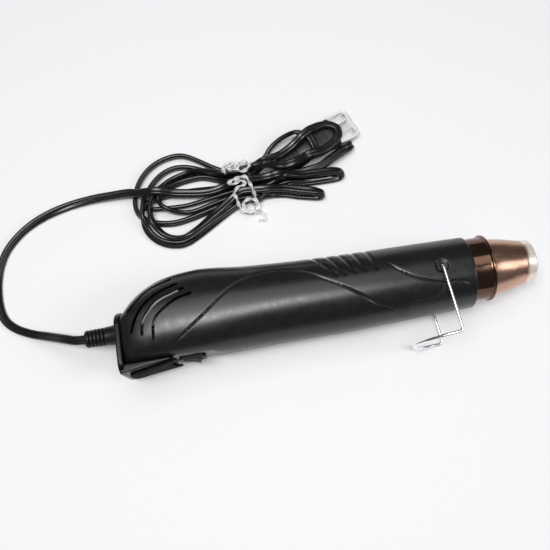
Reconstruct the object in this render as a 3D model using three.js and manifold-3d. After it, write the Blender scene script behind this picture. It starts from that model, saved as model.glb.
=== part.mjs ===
// Pen-style craft heat gun lying on its side, with its flat two-core lead bundled beside it.
// Millimetres. The gun is drawn in its own frame and then moved as one group:
//   +X along the barrel towards the nozzle, x = 0 at the rear plate's back face,
//   +Y towards the thumb side, -Y towards the stand and the heel,
//   +Z out of the right-hand side, which faces up while the gun lies down.
import * as THREE from 'three';
import { mergeVertices } from 'three/addons/utils/BufferGeometryUtils.js';
import Module from 'manifold-3d';

const wasm = await Module();
wasm.setup();

// ---- driving dimensions ----
const GAP = 0.3;                 // clearance between touching pieces
const AXIS_HEIGHT = 23.2;        // barrel axis above the table
const WALL = 2;                  // housing wall
const BODY_REAR = 3.3;           // housing starts in front of the rear plate
const BODY_FRONT = 201.5;
const HINGE_X = 183;             // stand hinge
const HINGE_Y = 1.5;
const NOSE_Y = 1;                // collar and nozzle sit a little towards the thumb side
const FLANGE_X = 212;            // collar flange, rear face
const FLANGE_THICK = 1.4;
const TIP_X = 240;               // nozzle outlet
const SOLE_Y = -23.3;            // flat underside of the housing
const HEEL_LENGTH = 29;
const HEEL_DROP_REAR = 5.3;      // heel wedge thickness at the rear plate
const HEEL_DROP_FRONT = 0.9;
const SOLE_THICK = 1.3;
const PLATE_TOP = 7.5;
const PLATE_HALF = 17.6;
const RELIEF_Y = -3.8;           // height of the cord entry
const RELIEF_LENGTH = 20;
const STAND_LEG = 37.6;
const STAND_HALF = 22.3;         // leg centre line from the barrel axis
const STAND_LEAN = THREE.MathUtils.degToRad(4); // legs lean towards the nozzle at rest
const WIRE_R = 0.9;
const SWITCH_X = 38.8;
const ROCKER_TILT = THREE.MathUtils.degToRad(10);
const BOARD_Y = -11;
const MOTOR_REAR = 88;
const MOTOR_LENGTH = 30;
const MOTOR_R = 12;
const FAN_X = 125;
const FAN_LENGTH = 10;
const FAN_R = 14.6;
const TUBE_REAR = 142;
const TUBE_FRONT = 206.5;
const TUBE_R = 13.6;
const COIL_R = 10;
const CORD_WIDE = 5.4;
const CORD_THICK = 2.8;
const HANK_HEIGHT = 11.5;
const PLUG_ANGLE = THREE.MathUtils.degToRad(21.8);
const PLUG_START = [108, 94.4];  // where the lead enters the plug's boot
const PLUG_AXIS_H = 5.2;         // plug axis above the table
const CREST_MAX = 25.9;

// Barrel outline as [x, distance from the axis]: thumb side, underside and flanks.
const CREST = [[3.3, 5], [5.5, 7.9], [9.4, 12.9], [17.3, 19], [28.4, 23.7], [45, CREST_MAX],
  [56, 25.6], [74, 23.6], [108, 21.8], [142, 21.1], [170, 20.9], [203, 20.5]];
const KEEL = [[3.3, 25], [40, 25.2], [52, 24.9], [66, 24.3], [85, 23.7], [108, 23.4], [125, 23.2],
  [142, 22.7], [170, 21.6], [203, 20.5]];
const FLANK = [[3.3, 17.2], [8, 19.6], [15, 21.3], [25, 22.4], [40, 23.1], [52, AXIS_HEIGHT],
  [74, 22.9], [108, 22.2], [142, 21.5], [203, 20.4]];
const SQUARENESS = [[3.3, 4], [25, 3.6], [60, 2.7], [100, 2.1], [203, 2]];
const STATIONS = [3.3, 5.5, 9.4, 13, 17.3, 22.5, 28.4, 36, 45, 52, 60, 74, 90, 108, 125, 142, 160, 180, BODY_FRONT];
const OUTER_SIDES = 28;
const INNER_SIDES = 16;
const INNER_STATIONS = [-2, 9.4, 17.3, 28.4, 45, 60, 90, 142, 208];

// Centre lines of the air slots, [x, y].
const SLOTS = [
  [[33, 19.4], [20.5, 15.1], [13.3, 9], [8.8, 4]],
  [[36.5, 15.4], [25.4, 11.4], [17.4, 5.6], [12, -2], [9.6, -8]],
  [[40, 11.9], [34, 10], [25.3, 6.5], [19.2, 0.9], [16.5, -3.5], [15.4, -10]],
  [[43.9, 8.1], [35.7, 6.1], [28.9, 2], [23.9, -2.2], [22, -6.5], [21.2, -13.5]],
];
const SLOT_HALF = 0.85;

const HOUSING_SCREWS = [[62, 18.5], [84, -17.6], [150, 16.2], [150, -16.2]];
const HEEL_SCREWS = [[14, 8], [14, -8]];

// Route of the loose lead from the strain relief to the bundle: x, y, height above the table.
const CORD_ROUTE = [
  [-20.4, -3.8, 23.2], [-26, -3.2, 22.4], [-33, -0.6, 18.9], [-40, 2.2, 13.9], [-47, 5, 9.2],
  [-54, 7.6, 5.4], [-61, 10.8, 3], [-67, 14.4, 1.9], [-71.6, 19, 1.6], [-74.2, 24.5, 1.6],
  [-75.4, 31.5, 1.6], [-75.5, 40, 1.6], [-74.6, 47.5, 1.6], [-72.7, 55, 1.6], [-69.4, 62.4, 1.6],
  [-64, 69.3, 1.6], [-56, 76.2, 1.6], [-45, 82.3, 1.6], [-29.5, 87.2, 1.9], [-14, 89.2, 3],
  [0, 89, 4.9], [11.2, 88.2, 6.6],
];

// Outline of the bundled lead on the table, [x, y], going round anticlockwise from its left end.
const HANK_OUTLINE = [
  [11.6, 88.2], [11.8, 74], [16, 60], [27, 50.5], [42, 48.8], [57, 53.5], [70, 62.5], [83, 66],
  [100, 64.5], [120, 65], [134, 69.5], [143, 76], [151, 88], [160, 98], [157, 107], [150, 117],
  [140, 121.5], [126, 119], [110, 114], [96, 103], [84, 97.5], [72, 99], [58, 106.5], [42, 112.5],
  [27, 112], [16, 103],
];

// ---- finishes ----
const finish = (color, roughness, metalness, extra = {}) =>
  new THREE.MeshStandardMaterial({ color, roughness, metalness, ...extra });
const FINISH = {
  housing: finish(0x1b1c1e, 0.38, 0),
  heel: finish(0x232426, 0.45, 0),
  sole: finish(0x101010, 0.75, 0),
  switchBlack: finish(0x0c0c0d, 0.3, 0),
  cord: finish(0x151516, 0.5, 0),
  plug: finish(0x131314, 0.45, 0),
  clear: finish(0xe8ecee, 0.12, 0, { transparent: true, opacity: 0.4 }),
  chrome: finish(0xd8dadd, 0.12, 1),
  copper: finish(0xb87a58, 0.2, 1),
  bronze: finish(0x5a4034, 0.22, 1),
  steel: finish(0xa9abad, 0.35, 1),
  brass: finish(0xc9a24a, 0.3, 1),
  aluminium: finish(0xb9bcc0, 0.35, 1),
  mica: finish(0xcdb98f, 0.55, 0),
  nichrome: finish(0x8c8680, 0.4, 1),
  board: finish(0x2f6b3a, 0.55, 0),
  part: finish(0x202020, 0.5, 0),
  fan: finish(0xd9d9d4, 0.4, 0),
  red: finish(0xa02822, 0.45, 0),
  blue: finish(0x27469a, 0.45, 0),
};

// ---- small geometry kit ----

// Joins shared vertices, drops collapsed triangles and turns the faces outwards.
function weld(geometry) {
  const bare = geometry.clone();
  bare.deleteAttribute('normal');
  bare.deleteAttribute('uv');
  const merged = mergeVertices(bare, 1e-3);
  const place = merged.attributes.position;
  const index = Array.from(merged.index.array);
  const kept = [];
  let volume = 0;
  const corner = [new THREE.Vector3(), new THREE.Vector3(), new THREE.Vector3()];
  for (let i = 0; i < index.length; i += 3) {
    const [a, b, c] = index.slice(i, i + 3);
    if (a === b || b === c || c === a) continue;
    kept.push(a, b, c);
    corner.forEach((v, k) => v.fromBufferAttribute(place, [a, b, c][k]));
    volume += corner[0].dot(corner[1].clone().cross(corner[2]));
  }
  if (volume < 0) kept.reverse();
  merged.setIndex(kept);
  return merged;
}

function toManifold(geometry) {
  const merged = weld(geometry);
  return new wasm.Manifold(new wasm.Mesh({
    numProp: 3,
    vertProperties: new Float32Array(merged.attributes.position.array),
    triVerts: new Uint32Array(merged.index.array),
  }));
}

function toGeometry(manifold) {
  const mesh = manifold.getMesh();
  const geometry = new THREE.BufferGeometry();
  geometry.setAttribute('position', new THREE.BufferAttribute(mesh.vertProperties, mesh.numProp));
  geometry.setIndex(new THREE.BufferAttribute(mesh.triVerts, 1));
  return geometry;
}

const join = (first, ...rest) => rest.reduce((sum, item) => sum.add(item), first);
const cut = (first, ...rest) => rest.reduce((sum, item) => sum.subtract(item), first);

function blockGeometry([x0, y0, z0], [x1, y1, z1]) {
  const geometry = new THREE.BoxGeometry(x1 - x0, y1 - y0, z1 - z0);
  return geometry.translate((x0 + x1) / 2, (y0 + y1) / 2, (z0 + z1) / 2);
}
const block = (low, high) => toManifold(blockGeometry(low, high));

// Straight cylinder or cone between two points.
function rodGeometry(from, to, radius, sides = 20, endRadius = radius) {
  const a = new THREE.Vector3(...from);
  const b = new THREE.Vector3(...to);
  const along = b.clone().sub(a);
  const geometry = new THREE.CylinderGeometry(endRadius, radius, along.length(), sides);
  const turn = new THREE.Quaternion().setFromUnitVectors(new THREE.Vector3(0, 1, 0), along.normalize());
  return geometry.applyQuaternion(turn).translate(...a.add(b).multiplyScalar(0.5).toArray());
}
const rod = (...args) => toManifold(rodGeometry(...args));

// Solid of revolution about the barrel axis from a closed profile of [x, radius].
function turnedGeometry(profile, sides = 40) {
  const points = profile.map(([x, r]) => new THREE.Vector2(r, x));
  if (profile.every(([, r]) => r > 0)) points.push(points[0].clone());
  return weld(new THREE.LatheGeometry(points, sides).rotateZ(-Math.PI / 2));
}
const turned = (...args) => toManifold(turnedGeometry(...args));

const outline = (points) => new THREE.Shape(points.map(([x, y]) => new THREE.Vector2(x, y)));

// Flat outline in the X-Y plane, thickened from z0 to z1.
function slabGeometry(shape, z0, z1, curveSegments = 8) {
  const geometry = new THREE.ExtrudeGeometry(shape, { depth: z1 - z0, bevelEnabled: false, curveSegments });
  return geometry.translate(0, 0, z0);
}
const slab = (...args) => toManifold(slabGeometry(...args));

function circle(radius, sides) {
  const ring = [];
  for (let i = 0; i < sides; i += 1) {
    const angle = (i / sides) * Math.PI * 2;
    ring.push([radius * Math.cos(angle), radius * Math.sin(angle)]);
  }
  return outline(ring);
}

// Section swept along a smooth route through the points.
function sweepGeometry(points, section, steps) {
  const route = new THREE.CatmullRomCurve3(points.map((p) => new THREE.Vector3(...p)), false, 'centripetal');
  const geometry = new THREE.ExtrudeGeometry(section, { steps, extrudePath: route, bevelEnabled: false });
  return weld(geometry);
}

// Smooth value at x through [x, value] pairs.
function along(pairs, x) {
  const last = pairs.length - 1;
  if (x <= pairs[0][0]) return pairs[0][1];
  if (x >= pairs[last][0]) return pairs[last][1];
  const i = pairs.findIndex(([px]) => px > x) - 1;
  const slope = (k) => {
    const before = pairs[Math.max(k - 1, 0)];
    const after = pairs[Math.min(k + 1, last)];
    return (after[1] - before[1]) / (after[0] - before[0]);
  };
  const span = pairs[i + 1][0] - pairs[i][0];
  const t = (x - pairs[i][0]) / span;
  return (2 * t ** 3 - 3 * t ** 2 + 1) * pairs[i][1] + (t ** 3 - 2 * t ** 2 + t) * span * slope(i)
    + (3 * t ** 2 - 2 * t ** 3) * pairs[i + 1][1] + (t ** 3 - t ** 2) * span * slope(i + 1);
}

// ---- housing ----

// The flat underside ends in front of the switch, where the belly swells past it.
function flatAt(x) {
  return SOLE_Y - Math.max(0, x - 50) * 0.2;
}

// One closed ring of the barrel's section at x, moved inwards by inset.
function barrelRing(x, inset, sides) {
  const crest = along(CREST, x) - inset;
  const keel = along(KEEL, x) - inset;
  const flank = along(FLANK, x) - inset;
  const square = along(SQUARENESS, x);
  const ring = [];
  for (let i = 0; i < sides; i += 1) {
    const angle = (i / sides) * Math.PI * 2;
    const power = Math.sin(angle) < 0 ? 2 / square : 2 / 2.1;
    const wide = Math.sign(Math.cos(angle)) * Math.abs(Math.cos(angle)) ** power;
    const tall = Math.sign(Math.sin(angle)) * Math.abs(Math.sin(angle)) ** power;
    const y = tall < 0 ? Math.max(tall * keel, flatAt(x) + inset) : tall * crest;
    ring.push(new THREE.Vector3(x, y, wide * flank));
  }
  return ring;
}

// Skin over a row of rings, closed at both ends.
function loft(rings) {
  const sides = rings[0].length;
  const points = rings.flat();
  const faces = [];
  for (let k = 0; k < rings.length - 1; k += 1) {
    for (let i = 0; i < sides; i += 1) {
      const a = k * sides + i;
      const b = k * sides + ((i + 1) % sides);
      faces.push(a, b, b + sides, a, b + sides, a + sides);
    }
  }
  for (const [k, flip] of [[0, true], [rings.length - 1, false]]) {
    const centre = new THREE.Vector3();
    rings[k].forEach((p) => centre.addScaledVector(p, 1 / sides));
    points.push(centre);
    for (let i = 0; i < sides; i += 1) {
      const a = k * sides + i;
      const b = k * sides + ((i + 1) % sides);
      faces.push(...(flip ? [b, a, points.length - 1] : [a, b, points.length - 1]));
    }
  }
  const geometry = new THREE.BufferGeometry().setFromPoints(points);
  geometry.setIndex(faces);
  return toManifold(geometry);
}

// Band of constant width about an open centre line, in the X-Y plane.
function bandOutline(points, half) {
  const curve = new THREE.SplineCurve(points.map(([x, y]) => new THREE.Vector2(x, y)));
  const count = 6;
  const left = [];
  const right = [];
  for (let i = 0; i <= count; i += 1) {
    const p = curve.getPointAt(i / count);
    const d = curve.getTangentAt(i / count);
    left.push([p.x - d.y * half, p.y + d.x * half]);
    right.unshift([p.x + d.y * half, p.y - d.x * half]);
  }
  return outline([...left, ...right]);
}

// Where the flank is at height y, so that posts and recesses end at the wall.
function flankAt(x, y) {
  const reach = y > 0 ? along(CREST, x) : along(KEEL, x);
  const power = y > 0 ? 2.1 : along(SQUARENESS, x);
  return along(FLANK, x) * (1 - Math.abs(y / reach) ** power) ** (1 / power);
}

// side is +1 for the right-hand shell, which faces up, and -1 for the left-hand shell with the screws.
function housingHalf(side) {
  const half = (low, high) => (side > 0
    ? block([-10, -60, low], [TIP_X, 60, high]) : block([-10, -60, -high], [TIP_X, 60, -low]));
  const outer = loft(STATIONS.map((x) => barrelRing(x, 0, OUTER_SIDES)));
  const inner = loft(INNER_STATIONS.map((x) => barrelRing(x, WALL, INNER_SIDES)));
  let shell = cut(outer, inner).intersect(half(GAP / 2, 60));
  const posts = HOUSING_SCREWS.map(([x, y]) =>
    rod([x, y, side * GAP / 2], [x, y, side * (flankAt(x, y) - 0.6)], 2.5, 16));
  const heelPosts = HEEL_SCREWS.filter(([, z]) => z * side > 0).map(([x, z]) =>
    rod([x, SOLE_Y + 0.5, z], [x, SOLE_Y + 8, z], 2.7, 16));
  shell = join(shell, ...posts.map((post) => post.intersect(outer)), ...heelPosts);
  const holes = HOUSING_SCREWS.map(([x, y]) => (side > 0
    ? rod([x, y, 0], [x, y, 7.4], 1.35, 12) : rod([x, y, 0], [x, y, -60], 1.35, 12)));
  const sinks = side > 0 ? []
    : HOUSING_SCREWS.map(([x, y]) => rod([x, y, -flankAt(x, y) + 3.4], [x, y, -60], 1.95, 16));
  const heelHoles = HEEL_SCREWS.filter(([, z]) => z * side > 0).map(([x, z]) =>
    rod([x, SOLE_Y - 2, z], [x, SOLE_Y + 7, z], 1.3, 12));
  const slots = SLOTS.map((line) => slab(bandOutline(line, SLOT_HALF), side > 0 ? 3 : -40, side > 0 ? 40 : -3));
  const hinge = rod([HINGE_X, HINGE_Y, side * 10], [HINGE_X, HINGE_Y, side * 40], WIRE_R + 0.35, 16);
  const dish = rod([HINGE_X, HINGE_Y, side * 19.3], [HINGE_X, HINGE_Y, side * 40], 3.6, 20);
  const window = block([SWITCH_X - 6.3, -30, -4.6], [SWITCH_X + 6.3, -15, 4.6]);
  return cut(shell, ...holes, ...sinks, ...heelHoles, ...slots, hinge, dish, window);
}

// ---- heel, sole and cord entry ----

function heelCover() {
  const plate = new THREE.Shape();
  const bottom = SOLE_Y - HEEL_DROP_REAR;
  const corner = 6.5;
  plate.moveTo(-PLATE_HALF + corner, bottom);
  plate.lineTo(PLATE_HALF - corner, bottom);
  plate.absarc(PLATE_HALF - corner, bottom + corner, corner, -Math.PI / 2, 0, false);
  plate.lineTo(PLATE_HALF, -2);
  plate.absellipse(0, -2, PLATE_HALF, PLATE_TOP + 2, 0, Math.PI, false, 0);
  plate.lineTo(-PLATE_HALF, bottom + corner);
  plate.absarc(-PLATE_HALF + corner, bottom + corner, corner, Math.PI, Math.PI * 1.5, false);
  const upright = toManifold(slabGeometry(plate, 0, BODY_REAR - GAP, 12).rotateY(Math.PI / 2));
  const side = outline([[0.5, SOLE_Y - GAP], [0.5, SOLE_Y - HEEL_DROP_REAR],
    [HEEL_LENGTH, SOLE_Y - HEEL_DROP_FRONT], [HEEL_LENGTH, SOLE_Y - GAP]]);
  const plan = outline([[0, 15.6], [0, -15.6], [8, -15.6], [HEEL_LENGTH, -15], [HEEL_LENGTH, 15], [8, 15.6]]);
  const footprint = toManifold(slabGeometry(plan, -40, 0).rotateX(Math.PI / 2).translate(0, -40, 0));
  const wedge = slab(side, -20, 20).intersect(footprint);
  const entry = rod([-5, RELIEF_Y, 0], [10, RELIEF_Y, 0], 4.4, 24);
  const sinks = HEEL_SCREWS.map(([x, z]) => rod([x, SOLE_Y - 1.5, z], [x, -60, z], 2.4, 16));
  const holes = HEEL_SCREWS.map(([x, z]) => rod([x, SOLE_Y + 5, z], [x, -60, z], 1.3, 12));
  return cut(join(upright, wedge), entry, ...sinks, ...holes);
}

// Slope of the heel's underside.
const HEEL_TILT = Math.atan((HEEL_DROP_REAR - HEEL_DROP_FRONT) / (HEEL_LENGTH - 0.5));

function solePlate() {
  const rear = 3.4;
  const front = 31;
  const half = 13.4;
  const round = 5;
  const plan = new THREE.Shape();
  plan.moveTo(rear + round, -half);
  plan.lineTo(front, -half);
  plan.quadraticCurveTo(front - 4, 0, front, half);
  plan.lineTo(rear + round, half);
  plan.absarc(rear + round, half - round, round, Math.PI / 2, Math.PI, false);
  plan.lineTo(rear, -half + round);
  plan.absarc(rear + round, -half + round, round, Math.PI, Math.PI * 1.5, false);
  const drop = SOLE_Y - HEEL_DROP_REAR - GAP;
  return slabGeometry(plan, 0, SOLE_THICK, 6).rotateX(Math.PI / 2).rotateZ(HEEL_TILT).translate(0.5, drop, 0);
}

function strainRelief() {
  const profile = [[-RELIEF_LENGTH, 1.4], [-RELIEF_LENGTH, 4.4]];
  const grooves = 5;
  const grooveRoot = 4.2;
  for (let i = 0; i < grooves; i += 1) {
    const x = -RELIEF_LENGTH + 2.4 + i * 2.1;
    const top = 4.9 + 0.06 * i;
    profile.push([x, top], [x + 0.2, grooveRoot], [x + 0.6, grooveRoot], [x + 0.8, top]);
  }
  profile.push([-7, 5.3], [-GAP, 6.4], [-GAP, 4.1], [BODY_REAR + 0.2, 4.1], [BODY_REAR + 0.2, 5.6],
    [BODY_REAR + 2, 5.6], [BODY_REAR + 2, 1.4]);
  const boot = turned(profile, 16);
  const passage = block([-RELIEF_LENGTH - 1, -CORD_WIDE / 2 - GAP, -CORD_THICK / 2 - GAP],
    [20, CORD_WIDE / 2 + GAP, CORD_THICK / 2 + GAP]);
  return toGeometry(cut(boot, passage)).translate(0, RELIEF_Y, 0);
}

// Lead inside the boot and over the clamp, its wide side in the gun's upright plane.
function cordTail() {
  return blockGeometry([-RELIEF_LENGTH + GAP, RELIEF_Y - CORD_WIDE / 2, -CORD_THICK / 2],
    [15, RELIEF_Y + CORD_WIDE / 2, CORD_THICK / 2]);
}

function cordClamp() {
  const low = RELIEF_Y - CORD_WIDE / 2 - GAP;
  const bar = block([8.5, low - 3, -9], [12.5, low, 9]);
  const holes = [-6.5, 6.5].map((z) => rod([10.5, low - 8, z], [10.5, low + 8, z], 1.25, 12));
  return toGeometry(cut(bar, ...holes));
}

function clampScrew(z) {
  const low = RELIEF_Y - CORD_WIDE / 2 - GAP;
  const head = rod([10.5, low + GAP, z], [10.5, low + 1.9, z], 2.1, 12);
  return toGeometry(join(head, rod([10.5, low + 1, z], [10.5, low - 6, z], 1, 8)));
}

// ---- fasteners ----

function housingScrew([x, y]) {
  const seat = -flankAt(x, y) + 3.4;
  const head = rod([x, y, seat - GAP], [x, y, seat - 2], 1.7, 12);
  return toGeometry(join(head, rod([x, y, seat - 1], [x, y, 6.6], 1.05, 8)));
}

function heelScrew([x, z]) {
  const seat = SOLE_Y - 1.5;
  const head = rod([x, seat - GAP, z], [x, seat - 1.2, z], 2.1, 12);
  return toGeometry(join(head, rod([x, seat - 0.6, z], [x, SOLE_Y + 6, z], 1, 8)));
}

function motorScrew(side) {
  const x = MOTOR_REAR + MOTOR_LENGTH + GAP + 1.8;
  const head = rod([x + 0.3, side * 8, 0], [x + 1.5, side * 8, 0], 1.9, 12);
  return toGeometry(join(head, rod([x + 0.8, side * 8, 0], [x - 5, side * 8, 0], 1, 8)));
}

// ---- switch ----

function switchBody() {
  const bezel = block([SWITCH_X - 7.5, SOLE_Y - 1.5, -5.6], [SWITCH_X + 7.5, SOLE_Y - GAP, 5.6]);
  const can = block([SWITCH_X - 6, SOLE_Y - 1, -4.3], [SWITCH_X + 6, SOLE_Y + 10, 4.3]);
  const well = block([SWITCH_X - 5.2, SOLE_Y - 5, -3.9], [SWITCH_X + 5.2, SOLE_Y + 3.2, 3.9]);
  return toGeometry(cut(join(bezel, can), well));
}

// Rocker with its front half standing proud; its pivot runs across the gun at the origin here.
function switchRocker() {
  const side = new THREE.Shape();
  side.moveTo(-4.3, 0.6);
  side.lineTo(-4.5, -2.9);
  side.lineTo(0, -1.8);
  side.lineTo(4.5, -2.9);
  side.lineTo(4.3, 0.6);
  side.quadraticCurveTo(0, 2.4, -4.3, 0.6);
  return slabGeometry(side, -3.6, 3.6, 6).rotateZ(-ROCKER_TILT).translate(SWITCH_X, SOLE_Y, 0);
}

function switchTerminal(offset) {
  return blockGeometry([SWITCH_X + offset - 0.4, SOLE_Y + 10 + GAP, -2.4],
    [SWITCH_X + offset + 0.4, SOLE_Y + 16, 2.4]);
}

// ---- electronics ----

const boardPart = (x, y, z) => [x, BOARD_Y + y, z];

function rectifierBoard() {
  return blockGeometry([54, BOARD_Y - 1.6, -11], [80, BOARD_Y, 11]);
}

function rectifierDiode(index) {
  const x = 58 + index * 4;
  return rodGeometry(boardPart(x, 2, -8), boardPart(x, 2, -2.5), 1.4, 14);
}

function filterCapacitor() {
  return rodGeometry(boardPart(62, GAP, 5), boardPart(62, 9, 5), 3.2, 20);
}

// ---- motor and fan ----

function motorCase() {
  const front = MOTOR_REAR + MOTOR_LENGTH;
  const can = turned([[MOTOR_REAR, 0], [MOTOR_REAR, MOTOR_R - 1], [MOTOR_REAR + 1, MOTOR_R],
    [front - 1, MOTOR_R], [front, MOTOR_R - 1], [front, 0]], 24);
  const shaftHole = rod([front - 6, 0, 0], [front + 5, 0, 0], 1.3, 16);
  const taps = [-8, 8].map((y) => rod([front - 5, y, 0], [front + 5, y, 0], 1.3, 12));
  return toGeometry(cut(can, shaftHole, ...taps));
}

function motorBrush(side) {
  return blockGeometry([MOTOR_REAR - 4, side * 7 - 0.4, -1.8], [MOTOR_REAR - GAP, side * 7 + 0.4, 1.8]);
}

function motorShaft() {
  return rodGeometry([MOTOR_REAR + MOTOR_LENGTH - 5.6, 0, 0], [FAN_X + FAN_LENGTH + 1, 0, 0], 1, 16);
}

function motorBracket() {
  const rear = MOTOR_REAR + MOTOR_LENGTH + GAP;
  const front = rear + 1.8;
  const disc = turned([[rear, 2.4], [rear, 11], [front, 11], [front, 2.4]], 24);
  const rim = turned([[rear, 17.4], [rear, 19], [front + 1, 19], [front + 1, 17.4]], 28);
  const spokes = [0, 1].map((turn) => {
    const bar = turn ? block([rear, -18, -1.5], [front, 18, 1.5]) : block([rear, -1.5, -18], [front, 1.5, 18]);
    return cut(bar, rod([rear - 1, 0, 0], [front + 1, 0, 0], 5, 16));
  });
  const holes = [-8, 8].map((y) => rod([rear - 1, y, 0], [front + 1, y, 0], 1.3, 12));
  return toGeometry(cut(join(disc, rim, ...spokes), ...holes));
}

function fanWheel() {
  const front = FAN_X + FAN_LENGTH;
  const hub = turned([[FAN_X, 1.15], [FAN_X, 5], [front - 1, 5], [front, 4], [front, 1.15]], 20);
  const blades = [];
  const count = 7;
  for (let i = 0; i < count; i += 1) {
    const blade = blockGeometry([-5.2, 4.4, -0.5], [5.2, FAN_R, 0.5]);
    blade.rotateY(THREE.MathUtils.degToRad(38)).rotateX((i / count) * Math.PI * 2);
    blades.push(toManifold(blade.translate(FAN_X + FAN_LENGTH / 2, 0, 0)));
  }
  return toGeometry(join(hub, ...blades));
}

// ---- heater ----

function micaTube() {
  return turnedGeometry([[TUBE_REAR, TUBE_R - 0.8], [TUBE_REAR, TUBE_R], [TUBE_FRONT, TUBE_R],
    [TUBE_FRONT, TUBE_R - 0.8]], 28);
}

// Two crossed plates that slot into each other half-way along.
function formerPlate(upright) {
  const rear = TUBE_REAR + 4;
  const front = TUBE_FRONT - 5;
  const middle = (rear + front) / 2;
  const reach = COIL_R - 1.2;
  const slit = 0.4 + GAP;
  const plate = upright ? block([rear, -reach, -0.4], [front, reach, 0.4])
    : block([rear, -0.4, -reach], [front, 0.4, reach]);
  const slot = upright ? block([middle - GAP, -slit, -2], [front + 1, slit, 2])
    : block([rear - 1, -2, -slit], [middle + GAP, 2, slit]);
  return toGeometry(cut(plate, slot));
}

function heaterCoil(from, to, turns) {
  const points = [];
  const perTurn = 8;
  for (let i = 0; i <= turns * perTurn; i += 1) {
    const angle = (i / perTurn) * Math.PI * 2;
    const x = from + ((to - from) * i) / (turns * perTurn);
    points.push([x, COIL_R * Math.cos(angle), COIL_R * Math.sin(angle)]);
  }
  return sweepGeometry(points, circle(0.55, 5), turns * 9);
}

function thermalFuse() {
  return rodGeometry([TUBE_REAR + 6, 3.6, 3.6], [TUBE_REAR + 16, 3.6, 3.6], 1.7, 14);
}

function frontInsulator() {
  return turnedGeometry([[TUBE_FRONT - 4, 9.4], [TUBE_FRONT - 4, 12.3], [TUBE_FRONT - 1, 12.3],
    [TUBE_FRONT - 1, 9.4]], 24);
}

// ---- collar and nozzle ----

function collar() {
  const mouth = 16.9;
  return turnedGeometry([[196, 15.8], [196, 17], [BODY_FRONT + GAP, 17], [BODY_FRONT + GAP, 18.2],
    [FLANGE_X, 18.2], [FLANGE_X, 19.3], [FLANGE_X + FLANGE_THICK, 19.3], [FLANGE_X + FLANGE_THICK, mouth],
    [FLANGE_X, mouth], [FLANGE_X - 1, 17.3], [BODY_FRONT + 2, 17.3], [BODY_FRONT, 15.8]], 32)
    .translate(0, NOSE_Y, 0);
}

function nozzle() {
  const base = FLANGE_X - 3;
  return turnedGeometry([[base, 15.2], [base, 17], [base + 1, 17], [base + 1, 16.5], [FLANGE_X + 3, 16.5],
    [FLANGE_X + 10, 15.6], [TIP_X - 6, 12.9], [TIP_X - 1, 12.3], [TIP_X, 11.7], [TIP_X, 11],
    [TIP_X - 6, 12], [FLANGE_X + 10, 14.7], [FLANGE_X + 3, 15.4]], 32).translate(0, NOSE_Y, 0);
}

// ---- stand ----

function standWire() {
  const half = STAND_HALF;
  const bend = 1.8;
  const hookEnd = half - 6;
  const side = new THREE.CurvePath();
  const point = (x, y, z) => new THREE.Vector3(x, y, z);
  const corner = (from, through, to) => new THREE.QuadraticBezierCurve3(from, through, to);
  side.add(new THREE.LineCurve3(point(0, 0, hookEnd), point(0, 0, half - bend)));
  side.add(corner(point(0, 0, half - bend), point(0, 0, half), point(0, -bend, half)));
  side.add(new THREE.LineCurve3(point(0, -bend, half), point(0, -STAND_LEG + bend, half)));
  side.add(corner(point(0, -STAND_LEG + bend, half), point(0, -STAND_LEG, half), point(-bend, -STAND_LEG, half)));
  const leg = [point(0, 0, hookEnd), ...side.curves.flatMap((curve, i) => curve.getPoints(i % 2 ? 4 : 3).slice(1))];
  const foot = [];
  const steps = 14;
  for (let i = 1; i < steps; i += 1) {
    const angle = (i / steps) * Math.PI;
    foot.push(point(-bend - (half - bend) * Math.sin(angle), -STAND_LEG, half * Math.cos(angle)));
  }
  const mirrored = leg.map(({ x, y, z }) => point(x, y, -z)).reverse();
  const wire = [...leg, ...foot, ...mirrored].map(({ x, y, z }) => [x, y, z]);
  return sweepGeometry(wire, circle(WIRE_R, 6), 72).rotateZ(STAND_LEAN).translate(HINGE_X, HINGE_Y, 0);
}

// ---- internal leads ----

const leadSection = circle(0.9, 6);
const LEADS = {
  lead_live: [[15.4, RELIEF_Y - 1.35, 0], [20, -6, 1.2], [27, -8, 1.4], [32.5, -9.4, 0]],
  lead_neutral: [[15.4, RELIEF_Y + 1.35, 0], [24, -2, -4], [36, -2, -7.5], [48, -5, -8], [53.4, -10.5, -8]],
  lead_switched: [[44.4, -9.4, 0], [47, -8.6, 1], [50, -9, 3], [53.4, -10.6, 5]],
  heater_lead_1: [[80.6, -11.8, 5], [84, -12.6, 6], [90, -14.2, 6.6], [104, -14, 7.2], [122, -13.2, 9.5],
    [132, -12.9, 10.6], [138, -11, 9], [143, -8, 7.5]],
  heater_lead_2: [[80.6, -11.8, -5], [84, -12.6, -6], [90, -14.2, -6.6], [104, -14, -7.2], [122, -13.2, -9.5],
    [132, -12.9, -10.6], [138, -11, -9], [143, -8, -7.5]],
};

// ---- loose lead, bundle, tie and plug ----

const toGun = ([x, y, height]) => [x, y, height - AXIS_HEIGHT];

// Flat section with round edges, lying on its wide side.
function cordSection() {
  const flat = (CORD_WIDE - CORD_THICK) / 2;
  const section = [];
  for (const side of [1, -1]) {
    for (let i = 0; i <= 3; i += 1) {
      const angle = (i / 3 - 0.5) * Math.PI + (side > 0 ? 0 : Math.PI);
      section.push([side * flat + (CORD_THICK / 2) * Math.cos(angle), (CORD_THICK / 2) * Math.sin(angle)]);
    }
  }
  return outline(section);
}

const cordRun = () => sweepGeometry(CORD_ROUTE.map(toGun), cordSection(), 52);

// Moves a piece drawn along +X at the origin to the plug's place on the table.
const atPlug = (geometry) => geometry.rotateZ(PLUG_ANGLE)
  .translate(PLUG_START[0], PLUG_START[1], PLUG_AXIS_H - AXIS_HEIGHT);

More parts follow.
